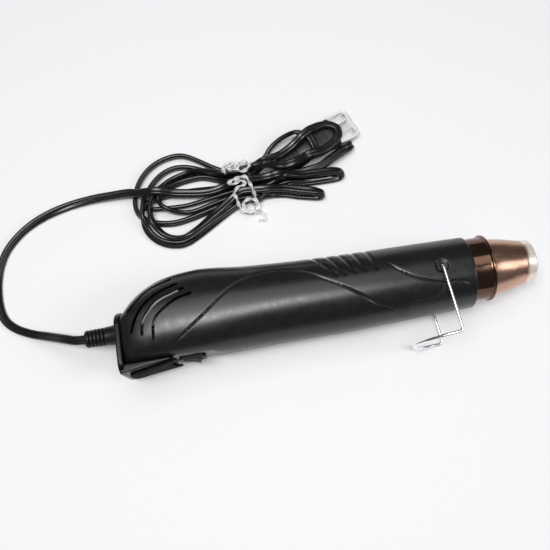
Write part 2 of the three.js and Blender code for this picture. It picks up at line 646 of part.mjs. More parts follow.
const BOOT_LENGTH = 15;
const PLUG_LENGTH = 25;
const PLUG_FACE = BOOT_LENGTH + PLUG_LENGTH;
const PIN_LENGTH = 13;
const PIN_SPACING = 12.7;

function roundedBar(x0, x1, halfY, halfZ, round) {
  const shape = new THREE.Shape();
  const y = halfY - round;
  const z = halfZ - round;
  shape.absarc(y, z, round, 0, Math.PI / 2, false);
  shape.absarc(-y, z, round, Math.PI / 2, Math.PI, false);
  shape.absarc(-y, -z, round, Math.PI, Math.PI * 1.5, false);
  shape.absarc(y, -z, round, Math.PI * 1.5, Math.PI * 2, false);
  const geometry = new THREE.ExtrudeGeometry(shape, { depth: x1 - x0, bevelEnabled: false, curveSegments: 4 });
  return geometry.rotateX(Math.PI / 2).rotateZ(Math.PI / 2).translate(x0, 0, 0);
}

function plugBody() {
  const grip = new THREE.Shape();
  grip.moveTo(BOOT_LENGTH - 3, -4);
  grip.quadraticCurveTo(BOOT_LENGTH + 4, -6, BOOT_LENGTH + 8, -9.5);
  grip.lineTo(PLUG_FACE - 1.5, -10.2);
  grip.lineTo(PLUG_FACE, -9.2);
  grip.lineTo(PLUG_FACE, 9.2);
  grip.lineTo(PLUG_FACE - 1.5, 10.2);
  grip.lineTo(BOOT_LENGTH + 8, 9.5);
  grip.quadraticCurveTo(BOOT_LENGTH + 4, 6, BOOT_LENGTH - 3, 4);
  const boot = toManifold(roundedBar(0, BOOT_LENGTH, 3.9, 3, 2.4));
  const holes = [-1, 1].map((side) => block([PLUG_FACE - 9, side * PIN_SPACING / 2 - 3.5, -1.1],
    [PLUG_FACE + 2, side * PIN_SPACING / 2 + 3.5, 1.1]));
  return cut(join(slab(grip, -4.8, 4.8, 6), boot), ...holes);
}

function plugPin(side) {
  const y = (side * PIN_SPACING) / 2;
  return blockGeometry([PLUG_FACE - 8.6, y - 3.15, -0.75], [PLUG_FACE + PIN_LENGTH, y + 3.15, 0.75]);
}

function pinCap() {
  const start = PLUG_FACE + 1;
  const end = PLUG_FACE + PIN_LENGTH + 1.6;
  const shell = toManifold(roundedBar(start, end, 11, 3.6, 3));
  const room = block([start - 1, -9.9, -2.4], [end - 1.2, 9.9, 2.4]);
  return toGeometry(cut(shell, room));
}

// Solid of the bundled lead, with a channel for the plug and a thin waist under the tie.
function cordHank() {
  const curve = new THREE.SplineCurve(HANK_OUTLINE.map(([x, y]) => new THREE.Vector2(x, y)));
  const body = slab(outline(curve.getSpacedPoints(48).map((p) => [p.x, p.y])), 0.2, HANK_HEIGHT);
  const channel = new THREE.Shape();
  channel.moveTo(-2, -5);
  channel.lineTo(BOOT_LENGTH - 1, -6);
  channel.lineTo(BOOT_LENGTH + 8, -12.2);
  channel.lineTo(80, -12.2);
  channel.lineTo(80, 12.2);
  channel.lineTo(BOOT_LENGTH + 8, 12.2);
  channel.lineTo(BOOT_LENGTH - 1, 6);
  channel.lineTo(-2, 5);
  const plugRoom = toManifold(slabGeometry(channel, -20, 30).rotateZ(PLUG_ANGLE)
    .translate(PLUG_START[0], PLUG_START[1], 0));
  const under = block([78.5, 40, -5], [85.5, 140, 2]);
  const lead = block([-20, 80, -5], [11.5, 96, 20]);
  return toGeometry(cut(body, plugRoom, under, lead).translate([0, 0, -AXIS_HEIGHT]));
}

// Clear plastic tie: a flat loop round the waist and a twisted tail.
function cordTie() {
  const loop = block([79.5, 64.2, 0.4], [84.5, 99.6, HANK_HEIGHT + 1.8]);
  const room = block([70, 65.4, 1.5], [95, 98.4, HANK_HEIGHT + 0.5]);
  const tail = rod([82, 64.6, 6], [92, 54, 3.2], 1.7, 12, 1.3);
  return toGeometry(join(cut(loop, room), tail).translate([0, 0, -AXIS_HEIGHT]));
}

// ---- assembly ----

const gun = new THREE.Group();
const spanX = (TIP_X - RELIEF_LENGTH) / 2;
const spanY = (CREST_MAX - STAND_LEG - WIRE_R) / 2;
gun.position.set(-spanX, -spanY, AXIS_HEIGHT);

function add(name, geometry, material) {
  const mesh = new THREE.Mesh(geometry.isBufferGeometry ? geometry : toGeometry(geometry), material);
  mesh.name = name;
  gun.add(mesh);
}

add('housing_right', housingHalf(1), FINISH.housing);
add('housing_left', housingHalf(-1), FINISH.housing);
add('heel_cover', heelCover(), FINISH.heel);
add('sole_plate', solePlate(), FINISH.sole);
add('strain_relief', strainRelief(), FINISH.cord);
add('cord_tail', cordTail(), FINISH.cord);
add('cord_clamp', cordClamp(), FINISH.part);
[-6.5, 6.5].forEach((z, i) => add(`clamp_screw_${i + 1}`, clampScrew(z), FINISH.steel));
HOUSING_SCREWS.forEach((place, i) => add(`housing_screw_${i + 1}`, housingScrew(place), FINISH.steel));
HEEL_SCREWS.forEach((place, i) => add(`heel_screw_${i + 1}`, heelScrew(place), FINISH.steel));
add('switch_body', switchBody(), FINISH.switchBlack);
add('switch_rocker', switchRocker(), FINISH.switchBlack);
[-3, 3].forEach((offset, i) => add(`switch_terminal_${i + 1}`, switchTerminal(offset), FINISH.brass));
add('rectifier_board', rectifierBoard(), FINISH.board);
[0, 1, 2, 3].forEach((i) => add(`rectifier_diode_${i + 1}`, rectifierDiode(i), FINISH.part));
add('filter_capacitor', filterCapacitor(), FINISH.blue);
add('motor_case', motorCase(), FINISH.steel);
[1, -1].forEach((side, i) => add(`motor_brush_tab_${i + 1}`, motorBrush(side), FINISH.brass));
add('motor_bracket', motorBracket(), FINISH.part);
[1, -1].forEach((side, i) => add(`motor_screw_${i + 1}`, motorScrew(side), FINISH.steel));
add('motor_shaft', motorShaft(), FINISH.steel);
add('fan', fanWheel(), FINISH.fan);
add('mica_tube', micaTube(), FINISH.mica);
add('former_plate_1', formerPlate(true), FINISH.mica);
add('former_plate_2', formerPlate(false), FINISH.mica);
add('dropper_coil', heaterCoil(TUBE_REAR + 6, TUBE_REAR + 13, 2), FINISH.nichrome);
add('heater_coil', heaterCoil(TUBE_REAR + 18, TUBE_FRONT - 8, 7), FINISH.nichrome);
add('thermal_fuse', thermalFuse(), FINISH.steel);
add('front_insulator', frontInsulator(), FINISH.mica);
add('collar', collar(), FINISH.bronze);
add('nozzle', nozzle(), FINISH.copper);
add('stand_wire', standWire(), FINISH.chrome);
Object.entries(LEADS).forEach(([name, points], i) =>
  add(name, sweepGeometry(points, leadSection, 14), [FINISH.red, FINISH.blue][i % 2]));
add('cord_run', cordRun(), FINISH.cord);
add('cord_hank', cordHank(), FINISH.cord);
add('cord_tie', cordTie(), FINISH.clear);
add('plug_body', atPlug(toGeometry(plugBody())), FINISH.plug);
[1, -1].forEach((side, i) => add(`plug_pin_${i + 1}`, atPlug(plugPin(side)), FINISH.brass));
add('pin_cap', atPlug(pinCap()), FINISH.clear);

export default gun;
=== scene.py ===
"""Looks of a pen-style craft heat gun that lies on its side with its flat lead bundled beside it.

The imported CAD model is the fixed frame. Finer pieces are built around it, and every piece gets a
procedural material. Shapes are drawn in millimetres in the gun's own frame, as in the CAD source:
+X runs along the barrel to the nozzle with x = 0 at the rear plate, +Y points to the thumb side,
and +Z comes out of the shell that faces up. place() moves a drawn shape to the row frame in metres.
"""

import math

import bpy
import numpy as np
from mathutils import Matrix, Vector


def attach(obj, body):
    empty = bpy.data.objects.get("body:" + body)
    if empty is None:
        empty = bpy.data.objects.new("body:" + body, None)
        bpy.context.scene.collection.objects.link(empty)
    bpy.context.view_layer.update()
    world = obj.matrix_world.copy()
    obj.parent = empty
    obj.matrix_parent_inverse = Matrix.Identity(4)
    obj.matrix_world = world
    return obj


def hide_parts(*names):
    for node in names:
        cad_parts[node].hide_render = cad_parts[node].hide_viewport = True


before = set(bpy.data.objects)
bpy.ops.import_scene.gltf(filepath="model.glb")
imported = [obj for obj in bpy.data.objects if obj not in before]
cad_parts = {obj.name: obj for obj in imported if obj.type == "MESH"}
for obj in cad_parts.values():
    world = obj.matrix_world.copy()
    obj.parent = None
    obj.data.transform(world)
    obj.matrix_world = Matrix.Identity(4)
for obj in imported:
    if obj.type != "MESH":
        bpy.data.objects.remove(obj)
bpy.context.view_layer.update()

# ---- driving dimensions, in millimetres unless said otherwise ----
MM = 0.001
AXIS_HEIGHT = 23.2
GUN_ORIGIN = Vector((-0.110, 0.0063, 0.0232))  # metres: the gun frame's origin in the row frame
GUN = Matrix.Translation(GUN_ORIGIN) @ Matrix.Diagonal((MM, MM, MM, 1))
GAP = 0.3
WALL = 2.0
BODY_REAR = 3.3
BODY_FRONT = 201.5
HINGE_X = 183.0
HINGE_Y = 1.5
NOSE_Y = 1.0
FLANGE_X = 212.0
FLANGE_THICK = 1.4
TIP_X = 240.0
SOLE_Y = -23.3
HEEL_LENGTH = 29.0
HEEL_DROP_REAR = 5.3
HEEL_DROP_FRONT = 0.9
HEEL_TILT = math.atan((HEEL_DROP_REAR - HEEL_DROP_FRONT) / (HEEL_LENGTH - 0.5))
SOLE_THICK = 1.3
PLATE_TOP = 7.5
PLATE_HALF = 17.6
RELIEF_Y = -3.8
RELIEF_LENGTH = 20.0
STAND_LEG = 37.6
STAND_HALF = 22.3
STAND_LEAN = math.radians(4)
WIRE_R = 0.9
SWITCH_X = 38.8
ROCKER_TILT = math.radians(10)
CORD_WIDE = 5.4
CORD_THICK = 2.8
PLUG_ANGLE = math.radians(21.8)
PLUG_START = (108.0, 94.4)
PLUG_AXIS_H = 5.2
PLUG_FACE = 40.0
PIN_LENGTH = 13.0
PIN_SPACING = 12.7

# Camera: place in metres, turn and slope in degrees, focal length on a 36 mm sensor.
CAMERA_AT = (-0.0343, -0.07355, 0.3900)
CAMERA_YAW = 9.604
CAMERA_ELEVATION = 75.098
CAMERA_ROLL = 0.329
CAMERA_LENS = 42.68

# Barrel outline as (x, distance from the axis): thumb side, underside, flanks and their fullness.
CREST = [(3.3, 5), (5.5, 7.9), (9.4, 12.9), (17.3, 19), (28.4, 23.7), (45, 25.9), (56, 25.6),
         (74, 23.6), (108, 21.8), (142, 21.1), (170, 20.9), (203, 20.5)]
KEEL = [(3.3, 25), (40, 25.2), (52, 24.9), (66, 24.3), (85, 23.7), (108, 23.4), (125, 23.2),
        (142, 22.7), (170, 21.6), (203, 20.5)]
FLANK = [(3.3, 17.2), (8, 19.6), (15, 21.3), (25, 22.4), (40, 23.1), (52, 23.2), (74, 22.9),
         (108, 22.2), (142, 21.5), (203, 20.4)]
SQUARENESS = [(3.3, 3.4), (25, 2.8), (60, 2.3), (100, 2.05), (203, 2)]
UPPER_FULLNESS = 2.1

# Centre lines on the shells, (x, y): air slots, decorative grooves and grip grooves.
SLOT_HALF = 0.85
SLOTS = [
    [(33, 19.4), (20.5, 15.1), (13.3, 9), (8.8, 4)],
    [(36.5, 15.4), (25.4, 11.4), (17.4, 5.6), (12, -2), (9.6, -8)],
    [(40, 11.9), (34, 10), (25.3, 6.5), (19.2, 0.9), (16.5, -3.5), (15.4, -10)],
    [(43.9, 8.1), (35.7, 6.1), (28.9, 2), (23.9, -2.2), (22, -6.5), (21.2, -13.5)],
]
ARCH_GROOVE = [(27.5, -20), (34.5, -15.7), (49, -4.9), (62.4, 5.5), (72, 11.4), (84, 14.5),
               (94.7, 14.3), (108.1, 10.3), (117.3, 4.6), (129.2, -2.7), (139.2, -9.9),
               (146.3, -14.5), (153.3, -17.4)]
FRONT_GROOVE = [(153.5, 8.5), (160.7, 1.7), (170.1, -3.8), (180.1, -7.2), (190.6, -8.1),
                (195, -8.8), (196.9, -10.4)]
GRIP_GROOVES = [
    [(110.5, 24.3), (113.5, 20.3), (125.3, 4.7)],
    [(119.5, 24.3), (121.7, 20.2), (129.7, 4.5)],
    [(127, 24.3), (128.7, 20.3), (135.4, 4.8)],
    [(135.5, 24.3), (136.7, 19.6), (141.1, 5)],
    [(143.5, 24.3), (144.3, 19.5), (147.7, 4.5)],
]
GROOVE_HALF, GROOVE_DEPTH = 0.7, 0.5
GRIP_HALF, GRIP_DEPTH = 1.35, 0.5
DISH_R, DISH_DEPTH = 3.9, 0.9
HOUSING_SCREWS = [(62, 18.5), (84, -17.6), (150, 16.2), (150, -16.2)]
HEEL_SCREWS = [(14, 8), (14, -8)]

# Loose lead from the strain relief to the bundle in metres: x, y in the gun's frame and height.
CORD_ROUTE = [
    (-.0204, -.0038, .0232), (-.026, -.0032, .0224), (-.033, -.0006, .0189),
    (-.040, .0022, .0139), (-.047, .005, .0092), (-.054, .0076, .0054), (-.061, .0108, .003),
    (-.067, .0144, .0019), (-.0716, .019, .0016), (-.0742, .0245, .0016),
    (-.0754, .0315, .0016), (-.0755, .040, .0016), (-.0746, .0475, .0016),
    (-.0727, .055, .0016), (-.0694, .0624, .0016), (-.064, .0693, .0016),
    (-.056, .0762, .0016), (-.045, .0823, .0016), (-.0295, .0872, .0019),
    (-.014, .0892, .003), (0, .089, .0049), (.0112, .0882, .0066),
]
# Roll of the flat lead about its own line, in degrees, at (x, roll): 0 flat, 90 on edge.
RUN_ROLL = [(0, 0), (25, 5), (60, 35), (95, 75), (125, 70), (160, 20), (185, 0), (400, 0)]


# ---- shape kit: a shape is (list of points, list of faces) ----

def merged(*shapes):
    """Several shapes as one, with their parts left separate."""
    points, faces = [], []
    for own_points, own_faces in shapes:
        start = len(points)
        points += list(own_points)
        faces += [[start + i for i in face] for face in own_faces]
    return points, faces


def moved(shape, matrix):
    return [matrix @ Vector(p) for p in shape[0]], shape[1]


def skin(rings, loop=False):
    """Faces over a row of equal closed rings; loop joins the last ring to the first."""
    count = len(rings[0])
    points = [Vector(p) for ring in rings for p in ring]
    faces = []
    spans = len(rings) if loop else len(rings) - 1
    for k in range(spans):
        for i in range(count):
            a, b = k * count + i, k * count + (i + 1) % count
            c, d = (((k + 1) % len(rings)) * count + j for j in ((i + 1) % count, i))
            faces.append([a, b, c, d])
    if not loop:
        faces.append(list(range(count))[::-1])
        faces.append([len(points) - count + i for i in range(count)])
    return points, faces


def lathe(profile, sides=96):
    """Closed profile of (x, radius) turned about the X axis."""
    rings = []
    for i in range(sides):
        angle = 2 * math.pi * i / sides
        rings.append([(x, r * math.cos(angle), r * math.sin(angle)) for x, r in profile])
    return skin(rings, loop=True)


def rod(start, end, radius, sides=32):
    """Straight cylinder between two points."""
    start, end = Vector(start), Vector(end)
    turn = (end - start).to_track_quat("Z", "Y").to_matrix()
    rings = []
    for middle in (start, end):
        ring = [Vector((math.cos(a), math.sin(a), 0)) * radius
                for a in np.linspace(0, 2 * math.pi, sides, endpoint=False)]
        rings.append([middle + turn @ p for p in ring])
    return skin(rings)


def prism(outline, low, high):
    """Outline (x, y) thickened along Z."""
    return skin([[(x, y, z) for x, y in outline] for z in (low, high)])


def inset(outline, distance):
    """Outline moved inwards by distance; it runs anticlockwise."""
    at = np.array(outline, float)
    before, after = at - np.roll(at, 1, 0), np.roll(at, -1, 0) - at
    normals = []
    for edge in (before, after):
        edge = edge / np.maximum(np.linalg.norm(edge, axis=1), 1e-9)[:, None]
        normals.append(np.stack([-edge[:, 1], edge[:, 0]], axis=1))
    middle = normals[0] + normals[1]
    middle /= np.maximum(np.linalg.norm(middle, axis=1), 1e-9)[:, None]
    reach = np.maximum((middle * normals[0]).sum(1), 0.5)
    return at + middle * (distance / reach)[:, None]


def rounded_slab(outline, low, high, edge, steps=4):
    """Outline (x, y) thickened along Z, with its two rims rounded by a radius of edge."""
    rings = []
    for k in range(steps + 1):
        turn = math.pi / 2 * k / steps
        rings.append((low + edge * (1 - math.sin(turn)), edge * (1 - math.cos(turn))))
    lower = [(z, side) for z, side in reversed(rings)]
    upper = [(high + low - z, side) for z, side in rings]
    rows = [[(x, y, z) for x, y in inset(outline, side)] for z, side in lower + upper]
    return skin(rows)


def rounded_corners(corners, steps=6):
    """Outline through (x, y, radius) corners, anticlockwise, with each corner rounded."""
    outline = []
    count = len(corners)
    for i, (x, y, radius) in enumerate(corners):
        at = Vector((x, y))
        back = (Vector(corners[i - 1][:2]) - at).normalized()
        ahead = (Vector(corners[(i + 1) % count][:2]) - at).normalized()
        if radius <= 0:
            outline.append((x, y))
            continue
        half = back.angle(ahead) / 2
        cut_back = radius / math.tan(half)
        start, end = at + back * cut_back, at + ahead * cut_back
        middle = at + (back + ahead).normalized() * (radius / math.sin(half))
        a0 = math.atan2(*(start - middle).yx)
        a1 = math.atan2(*(end - middle).yx)
        sweep = (a1 - a0 + math.pi) % (2 * math.pi) - math.pi
        for k in range(steps + 1):
            angle = a0 + sweep * k / steps
            outline.append((middle.x + radius * math.cos(angle),
                            middle.y + radius * math.sin(angle)))
    return outline


def rounded_rectangle(half_x, half_y, radius, steps):
    """Outline of a rectangle about the origin with rounded corners, anticlockwise."""
    return rounded_corners([(-half_x, -half_y, radius), (half_x, -half_y, radius),
                            (half_x, half_y, radius), (-half_x, half_y, radius)], steps)


def spline(points, step):
    """Centripetal curve through rows of numbers, resampled about step apart by its first three."""
    at = np.array(points, float)
    size = min(3, at.shape[1])
    ends = (2 * at[0] - at[1], 2 * at[-1] - at[-2])
    padded = np.vstack([ends[0], at, ends[1]])
    dense = []
    for k in range(len(at) - 1):
        p = padded[k:k + 4]
        knots = np.concatenate([[0], np.cumsum(np.maximum(
            np.linalg.norm(np.diff(p[:, :size], axis=0), axis=1), 1e-9) ** 0.5)])
        t = np.linspace(knots[1], knots[2], 24, endpoint=k == len(at) - 2)[:, None]
        a = [p[i] + (p[i + 1] - p[i]) * (t - knots[i]) / (knots[i + 1] - knots[i])
             for i in range(3)]
        b = [a[i] + (a[i + 1] - a[i]) * (t - knots[i]) / (knots[i + 2] - knots[i])
             for i in range(2)]
        dense.append(b[0] + (b[1] - b[0]) * (t - knots[1]) / (knots[2] - knots[1]))
    dense = np.vstack(dense)
    run = np.concatenate([[0], np.cumsum(np.linalg.norm(np.diff(dense[:, :size], axis=0), axis=1))])
    places = np.linspace(0, run[-1], max(2, round(run[-1] / step) + 1))
    return np.stack([np.interp(places, run, dense[:, k]) for k in range(at.shape[1])], axis=1)


def tube(points, section, wide):
    """Section (across, up) swept along points; wide is the section's across direction at each."""
    path = [Vector(p[:3]) for p in points]
    rings = []
    for i, at in enumerate(path):
        ahead = (path[min(i + 1, len(path) - 1)] - path[max(i - 1, 0)]).normalized()
        across = Vector(wide[i])
        across = (across - ahead * across.dot(ahead)).normalized()
        up = across.cross(ahead)
        rings.append([at + across * x + up * y for x, y in section])
    return skin(rings)


def widths(points, rolls):
    """Direction of a flat strip's width along points; roll 0 lies flat and 90 stands on edge."""
    at = np.array(points, float)[:, :3]
    ahead = np.gradient(at, axis=0)
    ahead /= np.linalg.norm(ahead, axis=1)[:, None]
    side = np.cross(ahead, (0, 0, 1))
    side /= np.maximum(np.linalg.norm(side, axis=1), 1e-9)[:, None]
    angle = np.radians(rolls)[:, None]
    wide = side * np.cos(angle) + np.cross(ahead, side) * np.sin(angle)
    for i in range(1, len(wide)):
        if wide[i] @ wide[i - 1] < 0:
            wide[i] *= -1
    return wide


def wire(points, radius, sides=16):
    """Round tube along points, its section carried along without twist."""
    path = [Vector(p) for p in points]
    rings = []
    across = None
    for i, at in enumerate(path):
        ahead = (path[min(i + 1, len(path) - 1)] - path[max(i - 1, 0)]).normalized()
        if across is None:
            across = ahead.orthogonal().normalized()
        across = (across - ahead * across.dot(ahead)).normalized()
        up = ahead.cross(across)
        rings.append([at + (across * math.cos(a) + up * math.sin(a)) * radius
                      for a in np.linspace(0, 2 * math.pi, sides, endpoint=False)])
    return skin(rings)


# ---- pieces ----

def draft(name, shape):
    """Object drawn in the gun's millimetres."""
    mesh = bpy.data.meshes.new(name)
    mesh.from_pydata([tuple(p) for p in shape[0]], [], shape[1])
    mesh.validate()
    obj = bpy.data.objects.new(name, mesh)
    bpy.context.scene.collection.objects.link(obj)
    return obj


def settle_modifiers(obj):
    """Bakes the object's modifiers into its mesh."""
    bpy.context.view_layer.update()
    graph = bpy.context.evaluated_depsgraph_get()
    mesh = bpy.data.meshes.new_from_object(obj.evaluated_get(graph))
    obj.modifiers.clear()
    old = obj.data
    obj.data = mesh
    bpy.data.meshes.remove(old)


def combine(obj, operation, *shapes):
    """Cuts shapes out of obj, or joins them to it."""
    tools = [draft("tool", shape) for shape in shapes]
    for tool in tools:
        modifier = obj.modifiers.new("carve", "BOOLEAN")
        modifier.operation = operation
        modifier.solver = "EXACT"
        modifier.object = tool
    settle_modifiers(obj)
    for tool in tools:
        bpy.data.objects.remove(tool)
    return obj


def place(obj, smooth=38):
    """Moves a drawn object to the row frame and shades it smooth between its sharp edges."""
    obj.data.transform(GUN)
    obj.data.polygons.foreach_set("use_smooth", [True] * len(obj.data.polygons))
    obj.data.set_sharp_from_angle(angle=math.radians(smooth))
    obj.data.update()
    return obj


def dress(obj, material, slot, body, *nodes):
    """Gives a piece its material and body, and hides the CAD nodes it stands for; slot is not used.
    """
    obj.data.materials.clear()
    obj.data.materials.append(material)
    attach(obj, body)
    if nodes:
        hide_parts(*nodes)
    return obj


# ---- materials ----

# Drawing marks on metal: how many noise cells there are in a metre, and their height in metres.
MARK_SCALE, MARK_HEIGHT = 900, 4e-6


def material(name, color, roughness, metallic=0.0, **sockets):
    """Principled material; its finish is added by the functions below."""
    made = bpy.data.materials.new(name)
    made.use_nodes = True
    shader = made.node_tree.nodes["Principled BSDF"]
    shader.inputs["Base Color"].default_value = (*color, 1)
    shader.inputs["Roughness"].default_value = roughness
    shader.inputs["Metallic"].default_value = metallic
    for socket, value in sockets.items():
        shader.inputs[socket.replace("_", " ")].default_value = value
    return made


def node(tree, kind, **values):
    """New node with its plain properties and input values set by name."""
    made = tree.nodes.new(kind)
    for key, value in values.items():
        if key in made.bl_rna.properties:
            setattr(made, key, value)
        else:
            made.inputs[key.replace("_", " ")].default_value = value
    return made


def noise_of(tree, scale, stretch=(1, 1, 1)):
    """Noise in object space, in metres; returns its factor socket."""
    place_node = node(tree, "ShaderNodeTexCoord")
    mapping = node(tree, "ShaderNodeMapping", Scale=stretch)
    tree.links.new(place_node.outputs["Object"], mapping.inputs["Vector"])
    made = node(tree, "ShaderNodeTexNoise", Scale=scale, Detail=3.0)
    tree.links.new(mapping.outputs["Vector"], made.inputs["Vector"])
    return made.outputs["Fac"]


def spread_of(tree, factor, low, high):
    """Factor from 0.3 to 0.7 mapped to low to high."""
    made = node(tree, "ShaderNodeMapRange", From_Min=0.3, From_Max=0.7, To_Min=low, To_Max=high)
    tree.links.new(factor, made.inputs["Value"])
    return made.outputs["Result"]


def vary_roughness(made, low, high, scale, stretch=(1, 1, 1)):
    tree = made.node_tree
    factor = noise_of(tree, scale, stretch=stretch)
    shader = tree.nodes["Principled BSDF"]
    tree.links.new(spread_of(tree, factor, low, high), shader.inputs["Roughness"])


def vary_color(made, dark, light, scale, stretch=(1, 1, 1)):
    tree = made.node_tree
    mix = node(tree, "ShaderNodeMix", data_type="RGBA")
    mix.inputs[6].default_value = (*dark, 1)
    mix.inputs[7].default_value = (*light, 1)
    factor = spread_of(tree, noise_of(tree, scale, stretch=stretch), 0, 1)
    tree.links.new(factor, mix.inputs[0])
    tree.links.new(mix.outputs[2], tree.nodes["Principled BSDF"].inputs["Base Color"])


def add_grain(made, *layers):
    """Bump from noise layers of (scale per metre, height in metres, stretch)."""
    tree = made.node_tree
    normal = None
    for scale, height, stretch in layers:
        bump = node(tree, "ShaderNodeBump", Strength=1.0, Distance=height)
        tree.links.new(noise_of(tree, scale, stretch=stretch), bump.inputs["Height"])
        if normal is not None:
            tree.links.new(normal, bump.inputs["Normal"])
        normal = bump.outputs["Normal"]
    tree.links.new(normal, tree.nodes["Principled BSDF"].inputs["Normal"])


def moulded(name, dark, light, roughness=(0.3, 0.42), texture=1.6e-5, waves=2e-5, shine=0.5):
    """Moulded plastic: fine spark-eroded texture, faint sink waves and uneven gloss."""
    made = material(name, dark, roughness[0], Specular_IOR_Level=shine)
    vary_color(made, dark, light, 60)
    vary_roughness(made, *roughness, 240)
    add_grain(made, (90, waves, (1, 1, 1)), (3200, texture, (1, 1, 1)))
    return made


def metal(name, dark, light, roughness, drawn=(1, 1, 1)):
    """Metal with drawing marks, which drawn stretches along one axis."""
    made = material(name, dark, roughness[0], 1.0)
    vary_color(made, dark, light, 90, drawn)
    vary_roughness(made, *roughness, MARK_SCALE, drawn)
    add_grain(made, (MARK_SCALE, MARK_HEIGHT, drawn))
    return made


def clear_plastic(name, color, roughness, ior, clearness):
    """Thin clear moulding with slightly uneven gloss; clearness 1 has no diffuse white part, and
    less mixes one in.
    """
    made = material(name, color, roughness, Transmission_Weight=clearness, IOR=ior)
    vary_roughness(made, roughness, roughness + 0.1, 500)
    return made


def nozzle_finish():
    """Rose-gold plating along the cone that turns to a pale cream, less metallic band at the
    outlet.
    """
    made = metal("rose_gold", (0.5, 0.29, 0.205), (0.68, 0.43, 0.325), (0.24, 0.34), (0.15, 1, 1))
    tree = made.node_tree
    shader = tree.nodes["Principled BSDF"]
    coordinates = node(tree, "ShaderNodeTexCoord")
    axes = node(tree, "ShaderNodeSeparateXYZ")
    tree.links.new(coordinates.outputs["Object"], axes.inputs[0])
    wave = node(tree, "ShaderNodeTexNoise", Scale=110.0, Detail=1.0)
    tree.links.new(coordinates.outputs["Object"], wave.inputs["Vector"])
    sway = node(tree, "ShaderNodeMath", operation="MULTIPLY_ADD")
    sway.inputs[1].default_value = 0.007
    tree.links.new(wave.outputs["Fac"], sway.inputs[0])
    tree.links.new(axes.outputs["X"], sway.inputs[2])
    band_start = (TIP_X - 1.9) * MM + GUN_ORIGIN.x
    edge = node(tree, "ShaderNodeMapRange", From_Min=band_start, From_Max=band_start + 0.0016)
    tree.links.new(sway.outputs[0], edge.inputs["Value"])
    mix = node(tree, "ShaderNodeMix", data_type="RGBA")
    tree.links.new(edge.outputs["Result"], mix.inputs[0])
    old = shader.inputs["Base Color"].links[0].from_socket
    tree.links.new(old, mix.inputs[6])
    mix.inputs[7].default_value = (0.86, 0.79, 0.68, 1)
    tree.links.new(mix.outputs[2], shader.inputs["Base Color"])
    metallic = node(tree, "ShaderNodeMapRange", To_Min=1.0, To_Max=0.45)
    tree.links.new(edge.outputs["Result"], metallic.inputs["Value"])
    tree.links.new(metallic.outputs["Result"], shader.inputs["Metallic"])
    return made


def make_materials():
    return {
        "shell": moulded("satin_black_shell", (0.0062, 0.0066, 0.0075), (0.0085, 0.009, 0.01),
                         (0.26, 0.34)),
        "heel": moulded("black_heel", (0.004, 0.004, 0.0045), (0.006, 0.006, 0.0065), (0.26, 0.34),
                        shine=0.2),
        "sole": moulded("rubber_sole", (0.003, 0.003, 0.003), (0.005, 0.005, 0.005), (0.6, 0.75),
                        6e-5, shine=0.04),
        "switch": moulded("gloss_switch", (0.003, 0.003, 0.0035), (0.005, 0.005, 0.0055),
                          (0.4, 0.5), 1e-5, shine=0.2),
        "cord": moulded("black_pvc", (0.005, 0.0053, 0.006), (0.008, 0.0083, 0.009),
                        (0.22, 0.32), 1e-5, 2e-5),
        "boot": moulded("boot_pvc", (0.004, 0.004, 0.0045), (0.006, 0.006, 0.0065), (0.38, 0.5),
                        shine=0.3),
        "plug": moulded("plug_pvc", (0.008, 0.008, 0.0085), (0.012, 0.012, 0.0125), (0.36, 0.5)),
        "chrome": metal("chrome_wire", (0.9, 0.91, 0.92), (0.97, 0.97, 0.98), (0.24, 0.34)),
        "nozzle": nozzle_finish(),
        "bronze": metal("bronze_plating", (0.11, 0.062, 0.042), (0.2, 0.12, 0.085),
                        (0.1, 0.2), (0.15, 1, 1)),
        "steel": metal("zinc_steel", (0.42, 0.43, 0.44), (0.58, 0.59, 0.6), (0.28, 0.42)),
        "brass": metal("nickelled_brass", (0.86, 0.85, 0.82), (0.93, 0.92, 0.9), (0.4, 0.5)),
        "mica": moulded("mica_sheet", (0.42, 0.33, 0.2), (0.6, 0.5, 0.34), (0.35, 0.6), 5e-5),
        "nichrome": metal("nichrome_wire", (0.22, 0.2, 0.19), (0.36, 0.33, 0.31), (0.35, 0.5)),
        "board": moulded("green_board", (0.02, 0.09, 0.04), (0.03, 0.13, 0.06), (0.4, 0.55)),
        "part": moulded("black_part", (0.015, 0.015, 0.015), (0.025, 0.025, 0.025), (0.4, 0.55)),
        "capacitor": moulded("capacitor_sleeve", (0.02, 0.03, 0.14), (0.03, 0.045, 0.2),
                             (0.3, 0.4)),
        "fan": moulded("pale_fan", (0.55, 0.55, 0.52), (0.68, 0.68, 0.65), (0.35, 0.5)),
        # The red and blue leads are darkened far below their insulation's own colour: painted shade
        # for the inside of the shell seen through the slots.
        "red": moulded("red_lead", (0.035, 0.003, 0.003), (0.05, 0.004, 0.004), (0.35, 0.5)),
        "blue": moulded("blue_lead", (0.004, 0.006, 0.03), (0.005, 0.008, 0.042), (0.35, 0.5)),
        # The tie's clearness of 0.55 leaves a diffuse white part: a painted highlight that makes
        # its clear strands read white over the black lead.
        "clear": clear_plastic("clear_pvc", (0.96, 0.97, 0.97), 0.12, 1.45, 0.55),
        "cap": clear_plastic("frosted_cap", (1.0, 1.0, 0.995), 0.04, 1.02, 1.0),
        "insulator": moulded("ceramic_ring", (0.62, 0.56, 0.46), (0.75, 0.7, 0.6), (0.4, 0.6)),
    }


# ---- loose lead and bundle ----

def lead_section():
    """Two cores side by side with a web between them, (across, up), anticlockwise."""
    core = CORD_THICK / 2
    centre = CORD_WIDE / 2 - core
    section = []
    for side in (0, math.pi):
        for k in range(9):
            angle = side + math.radians(-136 + 272 * k / 8)
            section.append((centre * math.cos(side) + core * math.cos(angle),
                            core * math.sin(angle)))
    return section


